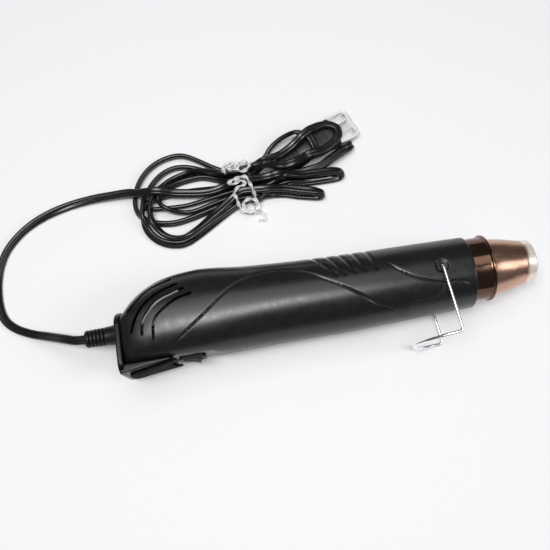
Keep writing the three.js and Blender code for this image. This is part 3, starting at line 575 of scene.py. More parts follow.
# Passes of the lead through the tie, first to last: most stand on edge in a row on the table, and
# two lie flat on top of them.
ON_EDGE = 2.85
ROW_START, ROW_STEP = 71.6, 2.88
FLAT_ON_TOP = 7.1
PASSES = [("top", 83), ("row", 3), ("row", 4), ("row", 8), ("row", 1), ("row", 2), ("row", 5),
          ("row", 7), ("row", 0), ("top", 76.6), ("row", 6)]

# Left-hand loops in winding order: leftmost point, widest point of the near and of the far side,
# how flat the near side lies, and whether the lead enters on the far side.
LEFT_LOOPS = [
    ((19, 78), (42, 75.4), (45, 84.6), 75, False),
    ((13, 80), (36, 65), (42, 110), 80, True),
    ((28.6, 80), (46, 70.6), (54, 92.8), 80, False),
    ((17.6, 70), (38, 51), (43, 102), 38, True),
    ((22.4, 72), (40, 54.6), (50, 96.6), 62, False),
]
# Fold that leaves under the others, comes up over the plug and arches beyond it.
ARCH_OVER_PLUG = [
    (100, 86.4, 2.9, 84), (112, 88.6, 2.9, 84), (122, 90.2, 3, 80), (128.6, 92.4, 5.4, 62),
    (130.8, 96.4, 10.6, 35), (129.6, 101.9, 12.6, 10), (126, 107.2, 12.6, 30),
    (120, 110.1, 11.2, 62), (111.9, 109.2, 8.6, 78), (103.7, 105.1, 5, 84), (97.4, 98.7, 3, 85),
]
# Fold that lies along the plug, round its front end and back beside its boot.
ROUND_THE_PLUG = [
    (94.9, 88.6, 4, 78), (102.7, 89.4, 6.4, 52), (112.2, 89.8, 8.8, 26), (123.5, 91.4, 11.4, 12),
    (135, 94.8, 12.6, 6), (142.5, 98.9, 12.4, 8), (147.3, 104.5, 12, 14), (146.7, 109.4, 11.8, 22),
    (141.6, 112.2, 11.8, 22), (135.2, 111.8, 12, 14), (128.7, 108.8, 12, 8), (120, 103.1, 11.6, 4),
    (111.3, 98.3, 10.4, 6), (105.6, 95.9, 8.4, 25), (96.9, 93.4, 4.6, 70),
]


def waist(turn, leftwards):
    """Two points that carry a pass straight through the tie, which slants a little."""
    layer, place_in_it = PASSES[turn]
    if layer == "top":
        y, height, roll = place_in_it, FLAT_ON_TOP, 0
    else:
        y, height, roll = ROW_START + ROW_STEP * place_in_it, ON_EDGE, 86
    x = 83 - 0.38 * (y - 80)
    points = [(x - 5, y, height, roll), (x + 5, y, height, roll)]
    return points[::-1] if leftwards else points


def left_loop(tip, near, far, near_roll):
    """Points round a left-hand loop, from its near side to its far side."""
    arms = []
    for bulge, roll in ((near, near_roll), (far, 84)):
        arm = []
        for degrees in (100, 80, 60, 40, 20):
            angle = math.radians(degrees)
            arm.append((bulge[0] - (bulge[0] - tip[0]) * math.cos(angle),
                        tip[1] + (bulge[1] - tip[1]) * math.sin(angle), ON_EDGE, roll))
        arms.append(arm)
    return [*arms[0], (*tip, ON_EDGE, 82), *arms[1][::-1]]


def fold(tip, heading, half, out_height, back_height):
    """Points round a right-hand hairpin; half is the out strand's offset to the far side."""
    ahead = Vector((math.cos(heading), math.sin(heading)))
    left = Vector((-ahead.y, ahead.x))
    shape = [(26, 0.8, 1, 14), (15, 1, 1, 4), (7, 1, 1.04, 4), (2.2, 0.9, 0.86, 30), (0, 0, 0, 90),
             (2.2, -0.9, -0.86, 30), (7, -1, -1.04, 4), (15, -1, -1, 4), (26, -0.8, -1, 14)]
    middle, rise = (out_height + back_height) / 2, (out_height - back_height) / 2
    points = []
    for back, side, lift, roll in shape:
        at = Vector(tip) - ahead * back + left * (half * side)
        points.append((at.x, at.y, middle + rise * lift, roll))
    return points


def bundle_route():
    """Control points of the bundled lead: x, y, height and roll, from the loose run to the plug."""
    folds = [
        [(95, 83.6, 7.1, 0), (106, 83.9, 7.1, 0), (118, 84.8, 7, 0),
         *fold((155.6, 99.6), math.radians(27), -1.1, 7, 1.7),
         (118, 84.9, 1.9, 30), (106, 83.6, 2.6, 66)],
        ARCH_OVER_PLUG,
        [(95, 76.4, 2.8, 80), (106, 79.2, 2.2, 40),
         *fold((146, 80.6), math.radians(0), -1.4, 1.8, 8), (108, 82.2, 6.6, 50)],
        ROUND_THE_PLUG,
        [(94, 73.6, 2.4, 60), *fold((131.4, 68.6), math.radians(-14), -0.9, 1.8, 7.4),
         (94, 76, 7.2, 0)],
    ]
    route = [(16, 86.6, 7.2, 0), (28, 84.8, 7.6, 0), (42, 82.6, 7.6, 0), (60, 80.6, 7.4, 0)]
    for turn, (tip, near, far, near_roll, far_first) in enumerate(LEFT_LOOPS):
        route += waist(2 * turn, False) + folds[turn] + waist(2 * turn + 1, True)
        points = left_loop(tip, near, far, near_roll)
        if PASSES[2 * turn + 1][0] == "top":
            points = [(66, 68.4, 6.6, 14), *points]
        route += points[::-1] if far_first else points
    route += waist(10, False)
    route += [(96, 89.6, 3.2, 70), (102, 92, 4.4, 30), (PLUG_START[0], PLUG_START[1], 5.2, 0),
              (PLUG_START[0] + 4, PLUG_START[1] + 1.6, 5.2, 0)]
    return route


def plug_top(x, y):
    """Height of the plug's or its cap's upper side under (x, y)."""
    dx, dy = x - PLUG_START[0], y - PLUG_START[1]
    along_it = dx * math.cos(PLUG_ANGLE) + dy * math.sin(PLUG_ANGLE)
    off = np.abs(dy * math.cos(PLUG_ANGLE) - dx * math.sin(PLUG_ANGLE))
    height = np.where((along_it > -1) & (along_it < 17) & (off < 4.6), 8.4, 0)
    height = np.where((along_it > 15) & (along_it < PLUG_FACE + 1) & (off < 10.6), 10.1, height)
    return np.where((along_it > PLUG_FACE) & (along_it < PLUG_FACE + 15) & (off < 11.4), 9, height)


# Stacking of the lead's crossings: rows nearer than this along the lead aren't compared, a clear
# difference in height decides which strand is on top, and the passes settle in this many steps.
NEAR_ROWS, CLEARLY_HIGHER, SETTLING_STEPS = 7, 0.8, 260
# Rows held in place at the strain relief and at the plug, and rows inside the plug's own boot.
HELD_FIRST, HELD_LAST, ROWS_AT_BOOT = 4, 6, 16
NO_NEED = -99.0  # lower than any real height difference


def stacked(path, wide):
    """Lifts crossings apart core by core, so that the lead passes over itself in low humps."""
    at = path.copy()
    count = len(at)
    core = CORD_THICK + 0.06
    reach = CORD_WIDE / 2 - CORD_THICK / 2
    index = np.arange(count)
    flat = np.linalg.norm(at[:, None, :2] - at[None, :, :2], axis=2)
    rows, columns = np.nonzero((flat < CORD_WIDE) & (index[None, :] - index[:, None] > NEAR_ROWS))
    order = np.where(at[rows, 2] - at[columns, 2] > CLEARLY_HIGHER, 1, -1)
    need = np.full(len(rows), NO_NEED)
    for own in (-reach, reach):
        for other in (-reach, reach):
            own_core = at[rows, :2] + own * wide[rows, :2]
            other_core = at[columns, :2] + other * wide[columns, :2]
            gap = np.linalg.norm(own_core - other_core, axis=1)
            drop = np.sqrt(np.maximum(core**2 - gap**2, 0))
            offset = order * (other * wide[columns, 2] - own * wide[rows, 2])
            need = np.maximum(need, np.where(gap < core, drop + offset, NO_NEED))
    tall = reach * np.abs(wide[:, 2]) + CORD_THICK / 2
    ground = tall + 0.15 + plug_top(at[:, 0], at[:, 1])
    ground[-ROWS_AT_BOOT:] = 0
    rest = np.maximum(at[:, 2], ground)
    fixed = np.zeros(count, bool)
    fixed[:HELD_FIRST] = fixed[-HELD_LAST:] = True
    start = at[:, 2].copy()
    for _ in range(SETTLING_STEPS):
        lift = np.zeros(count)
        drop = np.zeros(count)
        amount = np.clip(need - order * (at[rows, 2] - at[columns, 2]), 0, 1.0) * 0.5
        np.maximum.at(lift, np.where(order > 0, rows, columns), amount)
        np.maximum.at(drop, np.where(order > 0, columns, rows), amount)
        at[:, 2] += lift - 0.5 * drop - 0.04 * np.clip(at[:, 2] - rest, -1, 1)
        smooth = at[:, 2].copy()
        smooth[1:-1] = 0.2 * at[:-2, 2] + 0.6 * at[1:-1, 2] + 0.2 * at[2:, 2]
        at[:, 2] = np.where(fixed, start, np.maximum(smooth, np.minimum(ground, rest)))
    return at


def make_lead(materials):
    """One continuous flat lead: the loose run and all the turns of the bundle."""
    run = np.array(CORD_ROUTE) / MM
    length = np.concatenate([[0], np.cumsum(np.linalg.norm(np.diff(run, axis=0), axis=1))])
    rolls = np.interp(length, [at for at, _ in RUN_ROLL], [roll for _, roll in RUN_ROLL])
    points = np.vstack([np.column_stack([run, rolls]), bundle_route()])
    rows = spline(np.column_stack([points[:, :3], widths(points, points[:, 3])]), 1.8)
    wide = rows[:, 3:] / np.linalg.norm(rows[:, 3:], axis=1)[:, None]
    path = stacked(rows[:, :3], wide)
    path[:, 2] -= AXIS_HEIGHT
    lead = place(draft("flat_lead", tube(path, lead_section(), wide)), smooth=60)
    dress(lead, materials["cord"], "cord", "gun_body", "cord_run", "cord_hank")
    return lead, [GUN @ Vector(p) for p in path]


# ---- plug, cap and tie ----

def at_plug(shape):
    """Shape drawn along +X from the boot's end, moved to the plug's place on the table."""
    spot = Vector((*PLUG_START, PLUG_AXIS_H - AXIS_HEIGHT))
    return moved(shape, Matrix.Translation(spot) @ Matrix.Rotation(PLUG_ANGLE, 4, "Z"))


def superellipse(half_y, half_z, power=2.6, count=40):
    ring = []
    for k in range(count):
        angle = 2 * math.pi * k / count
        c, s = math.cos(angle), math.sin(angle)
        ring.append((half_y * math.copysign(abs(c) ** (2 / power), c),
                     half_z * math.copysign(abs(s) ** (2 / power), s)))
    return ring


def bar(stations, power=2.6, count=40):
    """Skin over superellipse sections (x, half width, half height) along X."""
    rings = []
    for x, half_y, half_z in stations:
        rings.append([(x, y, z) for y, z in superellipse(half_y, half_z, power, count)])
    return skin(rings)


def make_plug(materials):
    boot = [(-0.2, 3.3, 2.3), (0.2, 3.8, 2.8), (1.4, 3.9, 3)]
    for k in range(4):
        x = 2.2 + 2.9 * k
        boot += [(x, 3.9 + 0.1 * k, 3), (x + 0.3, 3.2, 2.4), (x + 1.1, 3.2, 2.4),
                 (x + 1.4, 4 + 0.1 * k, 3.05)]
    grip = [(13.6, 4.2, 3.1), (15, 4.8, 3.4), (17.5, 6, 4), (20, 7.9, 4.5), (22.5, 9.2, 4.75),
            (25, 9.6, 4.8), (30, 9.7, 4.6), (34, 9.9, 4.55), (37, 10.1, 4.75), (39.8, 10.2, 4.8),
            (40.6, 9.9, 4.5), (PLUG_FACE, 9.3, 4)]
    body = draft("plug_body_fine", at_plug(bar(boot + grip, 3.0, 48)))
    slot = bar([(PLUG_FACE - 9, 3.6, 1.1), (PLUG_FACE + 3, 3.6, 1.1)], 8, 24)
    for side in (-1, 1):
        hole = moved(slot, Matrix.Translation((0, side * PIN_SPACING / 2, 0)))
        combine(body, "DIFFERENCE", at_plug(hole))
    ridges = []
    for side in (-1, 1):
        for k in range(5):
            x = 26.5 + 1.9 * k
            ridges.append(rod((x, -6.2, side * 4.9), (x, 6.2, side * 4.9), 0.42, sides=12))
    combine(body, "DIFFERENCE", at_plug(merged(*ridges)))
    place(body)
    dress(body, materials["plug"], "plug", "gun_body", "plug_body")
    root, tip, half = PLUG_FACE - 8.6, PLUG_FACE + PIN_LENGTH, 3.15
    hole_x = PLUG_FACE + 11.5
    pins = []
    for index, side in enumerate((1, -1)):
        y = side * PIN_SPACING / 2
        outline = rounded_corners([(root, y - half, 0.3), (tip, y - half, 1.6),
                                   (tip, y + half, 1.6), (root, y + half, 0.3)])
        pin = draft(f"plug_blade_{index + 1}", at_plug(rounded_slab(outline, -0.75, 0.75, 0.25)))
        combine(pin, "DIFFERENCE", at_plug(rod((hole_x, y, -2), (hole_x, y, 2), 1.5)))
        place(pin)
        pins.append(dress(pin, materials["brass"], "brass", "gun_body", f"plug_pin_{index + 1}"))
    return [body, *pins]


def make_pin_cap(materials):
    start, end = PLUG_FACE + 1, PLUG_FACE + PIN_LENGTH + 1.6
    outer = [(start, 10.8, 3.4), (start + 0.3, 11, 3.6), (start + 1.6, 11, 3.6),
             (start + 2, 10.7, 3.35), (end - 1.5, 10.6, 3.3), (end - 0.4, 10.2, 3),
             (end, 9.4, 2.4)]
    cap = draft("clear_pin_cap", at_plug(bar(outer, 4.5, 48)))
    room = bar([(start - 1, 9.9, 2.4), (end - 1.6, 9.8, 2.35)], 6, 32)
    combine(cap, "DIFFERENCE", at_plug(room))
    place(cap)
    return dress(cap, materials["cap"], "clear_plastic", "cap", "pin_cap")


# Tie: a clear strip twisted on itself, from its far curl twice over the bundle to its near curl.
TIE_ROUTE = [
    (72.6, 88.4, 11.2), (71.4, 91.6, 11), (73, 95.4, 10.4), (76.6, 97, 10), (80.6, 95.6, 10.4),
    (81.6, 92, 11), (78.6, 89.6, 11.8), (75.4, 90.2, 12.2), (75.6, 93.2, 12), (79.6, 94.8, 11.4),
    (84.6, 96, 10.4), (88, 94.4, 10), (88.4, 90.4, 10.6), (85.6, 87.4, 12), (81.6, 87.6, 13),
    (79.4, 91, 12.4), (79.8, 96, 9), (80, 99.2, 5), (80, 98, 1.5), (81.6, 91, 1.5),
    (83.6, 80, 1.5), (86.2, 70.6, 1.5), (88.4, 68.6, 4), (88.2, 74, 9.6), (86.4, 79.6, 11.4),
    (84.2, 83.4, 12.4), (79, 83.2, 12.8), (73.6, 81.8, 12.2), (75.6, 80.4, 12.8),
    (81.6, 81.4, 12.6), (83.6, 79.8, 12.6), (78.6, 78.4, 12.2), (76, 75, 11.6), (77.2, 71.4, 10),
    (78, 67.4, 8), (81, 64.4, 6.4), (85.8, 64, 6), (89.8, 66.6, 6.4), (88.6, 70, 8),
    (84.2, 71.2, 9.2), (80.8, 69.4, 8.4), (81.4, 66.2, 5.4), (85.4, 64.6, 3.6), (90, 64.2, 2.4),
    (93.6, 61.8, 1.6), (92.4, 58.6, 1.5), (88.6, 58.8, 1.5),
]
# The tie passes this far over any strand whose centre line is nearer than its reach; the part of
# it that is lower than its underside lies under the bundle.
TIE_REACH, TIE_CLEARANCE, TIE_UNDERSIDE = 2.6, 2.9, 5.2


def lifted_over(path, obstacles, reach, clearance, lowest):
    """Path raised where needed to pass over a cloud of points; parts below lowest stay."""
    at = path.copy()
    for i, (x, y, z) in enumerate(path):
        under = obstacles[np.hypot(obstacles[:, 0] - x, obstacles[:, 1] - y) < reach]
        if z > lowest and len(under):
            at[i, 2] = max(z, under[:, 2].max() + clearance)
    for _ in range(12):
        smooth = (at[:-2, 2] + at[1:-1, 2] + at[2:, 2]) / 3
        at[1:-1, 2] = np.where(path[1:-1, 2] > lowest, smooth, at[1:-1, 2])
    return at


def twisted(path, degrees):
    """Width directions that turn steadily about the line, carried along it without a jump."""
    across = Vector((0, 0, 1))
    found = []
    for i in range(len(path)):
        ahead = Vector(path[min(i + 1, len(path) - 1)] - path[max(i - 1, 0)]).normalized()
        across = (across - ahead * across.dot(ahead)).normalized()
        found.append(Matrix.Rotation(math.radians(degrees[i]), 3, ahead) @ across)
    return found


def make_tie(materials, lead_line):
    path = spline([(x, y, height - AXIS_HEIGHT) for x, y, height in TIE_ROUTE], 0.7)
    strands = np.array([GUN.inverted() @ point for point in lead_line])
    path = lifted_over(path, strands, TIE_REACH, TIE_CLEARANCE, TIE_UNDERSIDE - AXIS_HEIGHT)
    turns = np.arange(len(path)) * 24.0
    section = superellipse(1.25, 0.6, 2.4, 14)
    tie = draft("clear_tie", tube(path, section, twisted(path, turns)))
    place(tie, smooth=60)
    return dress(tie, materials["clear"], "clear_plastic", "gun_body", "cord_tie")


# ---- housing ----

def along(pairs, x):
    """Smooth value at x through (x, value) pairs, as in the CAD source; x may be an array."""
    knots, values = np.array(pairs, float).T
    slopes = np.empty(len(knots))
    slopes[1:-1] = (values[2:] - values[:-2]) / (knots[2:] - knots[:-2])
    slopes[0] = (values[1] - values[0]) / (knots[1] - knots[0])
    slopes[-1] = (values[-1] - values[-2]) / (knots[-1] - knots[-2])
    x = np.clip(np.asarray(x, float), knots[0], knots[-1])
    i = np.clip(np.searchsorted(knots, x, side="right") - 1, 0, len(knots) - 2)
    span = knots[i + 1] - knots[i]
    t = (x - knots[i]) / span
    return ((2 * t**3 - 3 * t**2 + 1) * values[i] + (t**3 - 2 * t**2 + t) * span * slopes[i]
            + (3 * t**2 - 2 * t**3) * values[i + 1] + (t**3 - t**2) * span * slopes[i + 1])


def barrel_point(x, angle, inwards=0.0):
    """(y, z) on the barrel at x; angle is -90 degrees at the underside and 90 at the thumb side."""
    crest, keel, flank = (along(pairs, x) - inwards for pairs in (CREST, KEEL, FLANK))
    square = along(SQUARENESS, x)
    power = np.where(angle < 0, 2 / square, 2 / UPPER_FULLNESS)
    wide = np.abs(np.cos(angle)) ** power * flank
    tall = np.sign(angle) * np.abs(np.sin(angle)) ** power
    low = tall * keel
    floor = SOLE_Y - np.maximum(0, x - 50) * 0.2 + inwards
    clipped = (low + floor) / 2 + np.sqrt(((low - floor) / 2) ** 2 + 0.2)
    return np.where(angle < 0, np.where(low < floor + 6, clipped, low), tall * crest), wide


def barrel_grid(stations, shares, inwards=0.0):
    """Points on one half of the barrel: a row per station, spaced by shares of the half girth."""
    angles = np.radians(np.linspace(-90, 90, 721))
    rows = []
    for x in stations:
        y, z = barrel_point(x, angles, inwards)
        z = GAP / 2 + z * (1 - GAP / 2 / max(z.max(), 1))
        run = np.concatenate([[0], np.cumsum(np.hypot(np.diff(y), np.diff(z)))])
        at = shares * run[-1]
        rows.append(np.column_stack([np.full(len(shares), x), np.interp(at, run, y),
                                     np.interp(at, run, z)]))
    return np.array(rows)


def distance_to(line, points):
    """Distance of (x, y) points to an open line, and how far along it the nearest place is."""
    line = np.array(line, float)
    best = np.full(len(points), np.inf)
    where = np.zeros(len(points))
    lengths = np.concatenate([[0], np.cumsum(np.linalg.norm(np.diff(line, axis=0), axis=1))])
    for k in range(len(line) - 1):
        edge = line[k + 1] - line[k]
        t = np.clip(((points - line[k]) @ edge) / (edge @ edge), 0, 1)
        off = np.linalg.norm(points - line[k] - t[:, None] * edge, axis=1)
        nearer = off < best
        best[nearer] = off[nearer]
        where[nearer] = (lengths[k] + t * np.linalg.norm(edge))[nearer]
    return best, where, lengths[-1]


def groove_depth(points, line, half, depth, fade_in, fade_out, sharp=1.0):
    """How deep a groove along line is at each point; it fades over its two ends."""
    smooth = spline([(x, y, 0) for x, y in line], 1.0)[:, :2]
    off, where, length = distance_to(smooth, points)
    profile = np.where(off < half, np.cos(np.pi / 2 * np.clip(off / half, 0, 1)) ** sharp, 0)
    ends = np.clip(where / fade_in, 0, 1) * np.clip((length - where) / fade_out, 0, 1)
    return depth * profile * np.sqrt(ends)


def round_off(distance, radius):
    """How far an edge of that radius falls back at a distance from it."""
    t = np.clip(radius - distance, 0, radius)
    return radius - np.sqrt(np.maximum(radius**2 - t**2, 0))


def surface_depth(points):
    """Depth of every groove in the shell, at (x, y) points."""
    depth = groove_depth(points, ARCH_GROOVE, GROOVE_HALF, GROOVE_DEPTH, 12, 14)
    depth = np.maximum(depth, groove_depth(points, FRONT_GROOVE, GROOVE_HALF, GROOVE_DEPTH, 5, 3))
    for line in GRIP_GROOVES:
        ridge = groove_depth(points, line, GRIP_HALF, GRIP_DEPTH, 0.1, 2.2, 0.6)
        depth = np.maximum(depth, ridge)
    hinge = np.hypot(points[:, 0] - HINGE_X, points[:, 1] - HINGE_Y)
    return np.maximum(depth, DISH_DEPTH * np.clip((DISH_R - hinge) / 0.7, 0, 1))


def shell_shape(fine):
    """Closed half shell on the +Z side; fine is the spacing of its outer grid."""
    near_rear = BODY_REAR + np.array([0, 0.05, 0.15, 0.35, 0.65, 1.0])
    near_front = BODY_FRONT - np.array([0.7, 0.4, 0.2, 0.08, 0])
    middle = np.arange(BODY_REAR + 1.4, BODY_FRONT - 1, fine)
    stations = np.concatenate([near_rear, middle, near_front])
    girth = 66.0
    edge = np.array([0, 0.05, 0.15, 0.35]) / girth
    shares = np.concatenate([edge, np.linspace(0.6 / girth, 1 - 0.6 / girth, int(girth / fine)),
                             1 - edge[::-1]])
    grid = barrel_grid(stations, shares)
    ahead = np.gradient(grid, axis=0)
    round_it = np.gradient(grid, axis=1)
    normal = np.cross(round_it, ahead)
    normal /= np.maximum(np.linalg.norm(normal, axis=2), 1e-9)[..., None]
    flat = grid.reshape(-1, 3)
    depth = surface_depth(flat[:, :2]).reshape(grid.shape[:2])
    seam = np.minimum(shares, 1 - shares)[None, :] * girth
    depth = depth + round_off(seam, 0.35)
    depth = depth + round_off(stations[:, None] - BODY_REAR, 1.0)
    depth = depth + round_off(BODY_FRONT - stations[:, None], 0.7)
    outer = grid + normal * depth[..., None]
    outer[:, 0, 2] = outer[:, -1, 2] = GAP / 2
    outer[0, :, 0], outer[-1, :, 0] = BODY_REAR, BODY_FRONT
    inner_stations = np.linspace(BODY_REAR, BODY_FRONT, 70)
    inner = barrel_grid(inner_stations, np.linspace(0, 1, 30), WALL)
    return closed_shell(outer, inner)


def closed_shell(outer, inner):
    """Outer and inner grids joined by flat rims into one closed body."""
    points = np.vstack([outer.reshape(-1, 3), inner.reshape(-1, 3)])
    faces = []
    start = outer.shape[0] * outer.shape[1]
    for grid, first, flip in ((outer, 0, False), (inner, start, True)):
        rows, columns = grid.shape[:2]
        index = first + np.arange(rows * columns).reshape(rows, columns)
        quads = np.stack([index[:-1, :-1], index[:-1, 1:], index[1:, 1:], index[1:, :-1]], axis=2)
        quads = quads.reshape(-1, 4)
        faces += (quads[:, ::-1] if flip else quads).tolist()
    out = np.arange(start).reshape(outer.shape[:2])
    back = start + np.arange(inner.shape[0] * inner.shape[1]).reshape(inner.shape[:2])
    faces.append([*out[0, ::-1], *back[0, :]])
    faces.append([*out[-1, :], *back[-1, ::-1]])
    faces.append([*out[:, 0], *back[::-1, 0]])
    faces.append([*out[::-1, -1], *back[:, -1]])
    return points.tolist(), [list(map(int, face)) for face in faces]


def round_end(end, direction, radius):
    """Half circle about a band's end, without the two points that its sides already have."""
    start = math.atan2(direction[1], direction[0])
    return [(end[0] + radius * math.cos(start + turn), end[1] + radius * math.sin(start + turn))
            for turn in np.radians([-60, -30, 0, 30, 60])]


def band(line, half):
    """Outline of constant width with round ends about an open line."""
    path = spline([(x, y, 0) for x, y in line], 0.6)[:, :2]
    ahead = np.gradient(path, axis=0)
    ahead /= np.linalg.norm(ahead, axis=1)[:, None]
    side = np.stack([-ahead[:, 1], ahead[:, 0]], axis=1)
    right = [tuple(p) for p in path - side * half]
    left = [tuple(p) for p in path + side * half]
    return [*right, *round_end(path[-1], ahead[-1], half),
            *left[::-1], *round_end(path[0], -ahead[0], half)]


def flank_at(x, y):
    """Height of the shell's side at (x, y)."""
    reach = along(CREST, x) if y > 0 else along(KEEL, x)
    power = UPPER_FULLNESS if y > 0 else along(SQUARENESS, x)
    return float(along(FLANK, x) * (1 - (abs(y) / reach) ** power) ** (1 / power))


def shell_cuts(screws):
    """Everything cut out of the +Z half shell."""
    cuts = [prism(band(line, SLOT_HALF), 3, 40) for line in SLOTS]
    hole = WIRE_R + 0.35
    cuts.append(rod((HINGE_X, HINGE_Y, 10), (HINGE_X, HINGE_Y, 40), hole))
    cuts.append(prism(rounded_corners([(SWITCH_X - 6.3, -30, 0.6), (SWITCH_X + 6.3, -30, 0.6),
                                       (SWITCH_X + 6.3, -15, 0.6), (SWITCH_X - 6.3, -15, 0.6)], 2),
                      -4.6, 4.6))
    if screws:
        for x, y in HOUSING_SCREWS:
            cuts.append(rod((x, y, flank_at(x, y) - 3.4), (x, y, 40), 1.95))
    return merged(*cuts)


def make_housing(materials):
    """The two half shells; the lower one is a mirror image with the screw holes."""
    made = []
    for name, side, fine, node_name in (("shell_right", 1, 0.5, "housing_right"),
                                        ("shell_left", -1, 0.8, "housing_left")):
        shell = draft(name, shell_shape(fine))
        if side < 0:
            posts = [rod((x, y, 1), (x, y, flank_at(x, y) - 0.6), 2.6) for x, y in HOUSING_SCREWS]
            combine(shell, "UNION", merged(*posts))
        combine(shell, "DIFFERENCE", shell_cuts(side < 0))
        if side < 0:
            shell.data.transform(Matrix.Diagonal((1, 1, -1, 1)))
            shell.data.flip_normals()
        place(shell, smooth=32)
        made.append(dress(shell, materials["shell"], "housing", "gun_body", node_name))
    return made


# ---- heel, sole and strain relief ----

def plate_outline():
    """Rear plate seen from behind, (z, y), anticlockwise: round above and square below."""
    bottom = SOLE_Y - HEEL_DROP_REAR
    lower = rounded_corners([(-PLATE_HALF, -2, 0), (-PLATE_HALF, bottom, 6.5),
                             (PLATE_HALF, bottom, 6.5), (PLATE_HALF, -2, 0)], 10)
    upper = []
    for k in range(1, 32):
        angle = math.pi * k / 32
        upper.append((PLATE_HALF * math.cos(angle), -2 + (PLATE_TOP + 2) * math.sin(angle)))
    return lower + upper


# Turns an outline drawn as (z, y), with its thickness along Z, to stand across the X axis.
UPRIGHT = Matrix(((0, 0, 1, 0), (0, 1, 0, 0), (-1, 0, 0, 0), (0, 0, 0, 1)))


def make_heel(materials):
    """Rear plate and the wedge under the housing, moulded as one."""
    plate = moved(rounded_slab(plate_outline(), 0, BODY_REAR - GAP, 0.75), UPRIGHT)
    heel = draft("heel_block", plate)
    plan = rounded_corners([(0.6, -15.6, 1), (8, -15.6, 8), (HEEL_LENGTH, -15, 2.2),
                            (HEEL_LENGTH, 15, 2.2), (8, 15.6, 8), (0.6, 15.6, 1)])
    block = rounded_slab(plan, 0, 1, 0.28, 3)
    points = []
    for x, z, t in block[0]:
        share = (x - 0.5) / (HEEL_LENGTH - 0.5)
        drop = HEEL_DROP_REAR + (HEEL_DROP_FRONT - HEEL_DROP_REAR) * share
        points.append((x, SOLE_Y - GAP - t * (drop - GAP), z))
    wedge = (points, [face[::-1] for face in block[1]])
    combine(heel, "UNION", wedge)
    cuts = [rod((-5, RELIEF_Y, 0), (10, RELIEF_Y, 0), 4.4)]
    for x, z in HEEL_SCREWS:
        cuts.append(rod((x, SOLE_Y - 1.5, z), (x, -60, z), 2.4))
    combine(heel, "DIFFERENCE", merged(*cuts))
    place(heel)
    return dress(heel, materials["heel"], "heel", "gun_body", "heel_cover")


def make_sole(materials):
    """Thin tread under the heel, tilted with it."""
    half, rear_x, front_x, hollow = 13.4, 3.4, 31, 4
    front = [(front_x - hollow * (1 - (z / half) ** 2), z) for z in np.linspace(-half, half, 15)]
    corners = rounded_corners([(rear_x, half, 5), (rear_x, -half, 5), (front_x, 0, 0)])
    rear = [(x, z) for x, z in corners if x < front_x]
    outline = front + rear
    drop = SOLE_Y - HEEL_DROP_REAR - GAP
    slab = rounded_slab(outline, 0, SOLE_THICK, 0.35, 3)
    points = [(x, -t, z) for x, z, t in slab[0]]
    shape = (points, [face[::-1] for face in slab[1]])
    tilt = Matrix.Translation((0.5, drop, 0)) @ Matrix.Rotation(HEEL_TILT, 4, "Z")
    sole = draft("sole_tread", moved(shape, tilt))
    place(sole)
    return dress(sole, materials["sole"], "sole", "gun_body", "sole_plate")


def make_strain_relief(materials):
    """Ribbed boot where the lead enters, with a slot for the flat lead."""
    profile = [(-RELIEF_LENGTH, 3.6), (-RELIEF_LENGTH + 0.12, 4.2), (-RELIEF_LENGTH + 0.5, 4.7),
               (-RELIEF_LENGTH + 1.1, 4.93), (-RELIEF_LENGTH + 1.8, 4.95)]
    for k in range(5):
        x = -RELIEF_LENGTH + 2.2 + 2.1 * k
        top = 4.92 + 0.06 * k
        profile += [(x, top), (x + 0.18, top - 0.12), (x + 0.3, 4.35), (x + 0.5, 4.2),
                    (x + 0.7, 4.35), (x + 0.82, top - 0.1), (x + 1.0, top + 0.03),
                    (x + 1.5, top + 0.1)]
    profile += [(-7.2, 5.25), (-4.5, 5.55), (-2, 6.0), (-GAP - 0.1, 6.4), (-GAP, 6.3), (-GAP, 4.1),
                (BODY_REAR + 0.2, 4.1), (BODY_REAR + 0.2, 5.6), (BODY_REAR + 2, 5.6),
                (BODY_REAR + 2, 0.6), (-RELIEF_LENGTH, 0.6)]
    boot = draft("cord_boot", moved(lathe(profile, 64), Matrix.Translation((0, RELIEF_Y, 0))))
    half_y, half_z = CORD_WIDE / 2 + 0.15, CORD_THICK / 2 + 0.15
    passage = bar([(-RELIEF_LENGTH - 2, half_y, half_z), (BODY_REAR + 4, half_y, half_z)], 5, 24)
    combine(boot, "DIFFERENCE", moved(passage, Matrix.Translation((0, RELIEF_Y, 0))))
    place(boot)
    return dress(boot, materials["boot"], "boot", "gun_body", "strain_relief")


# ---- switch ----

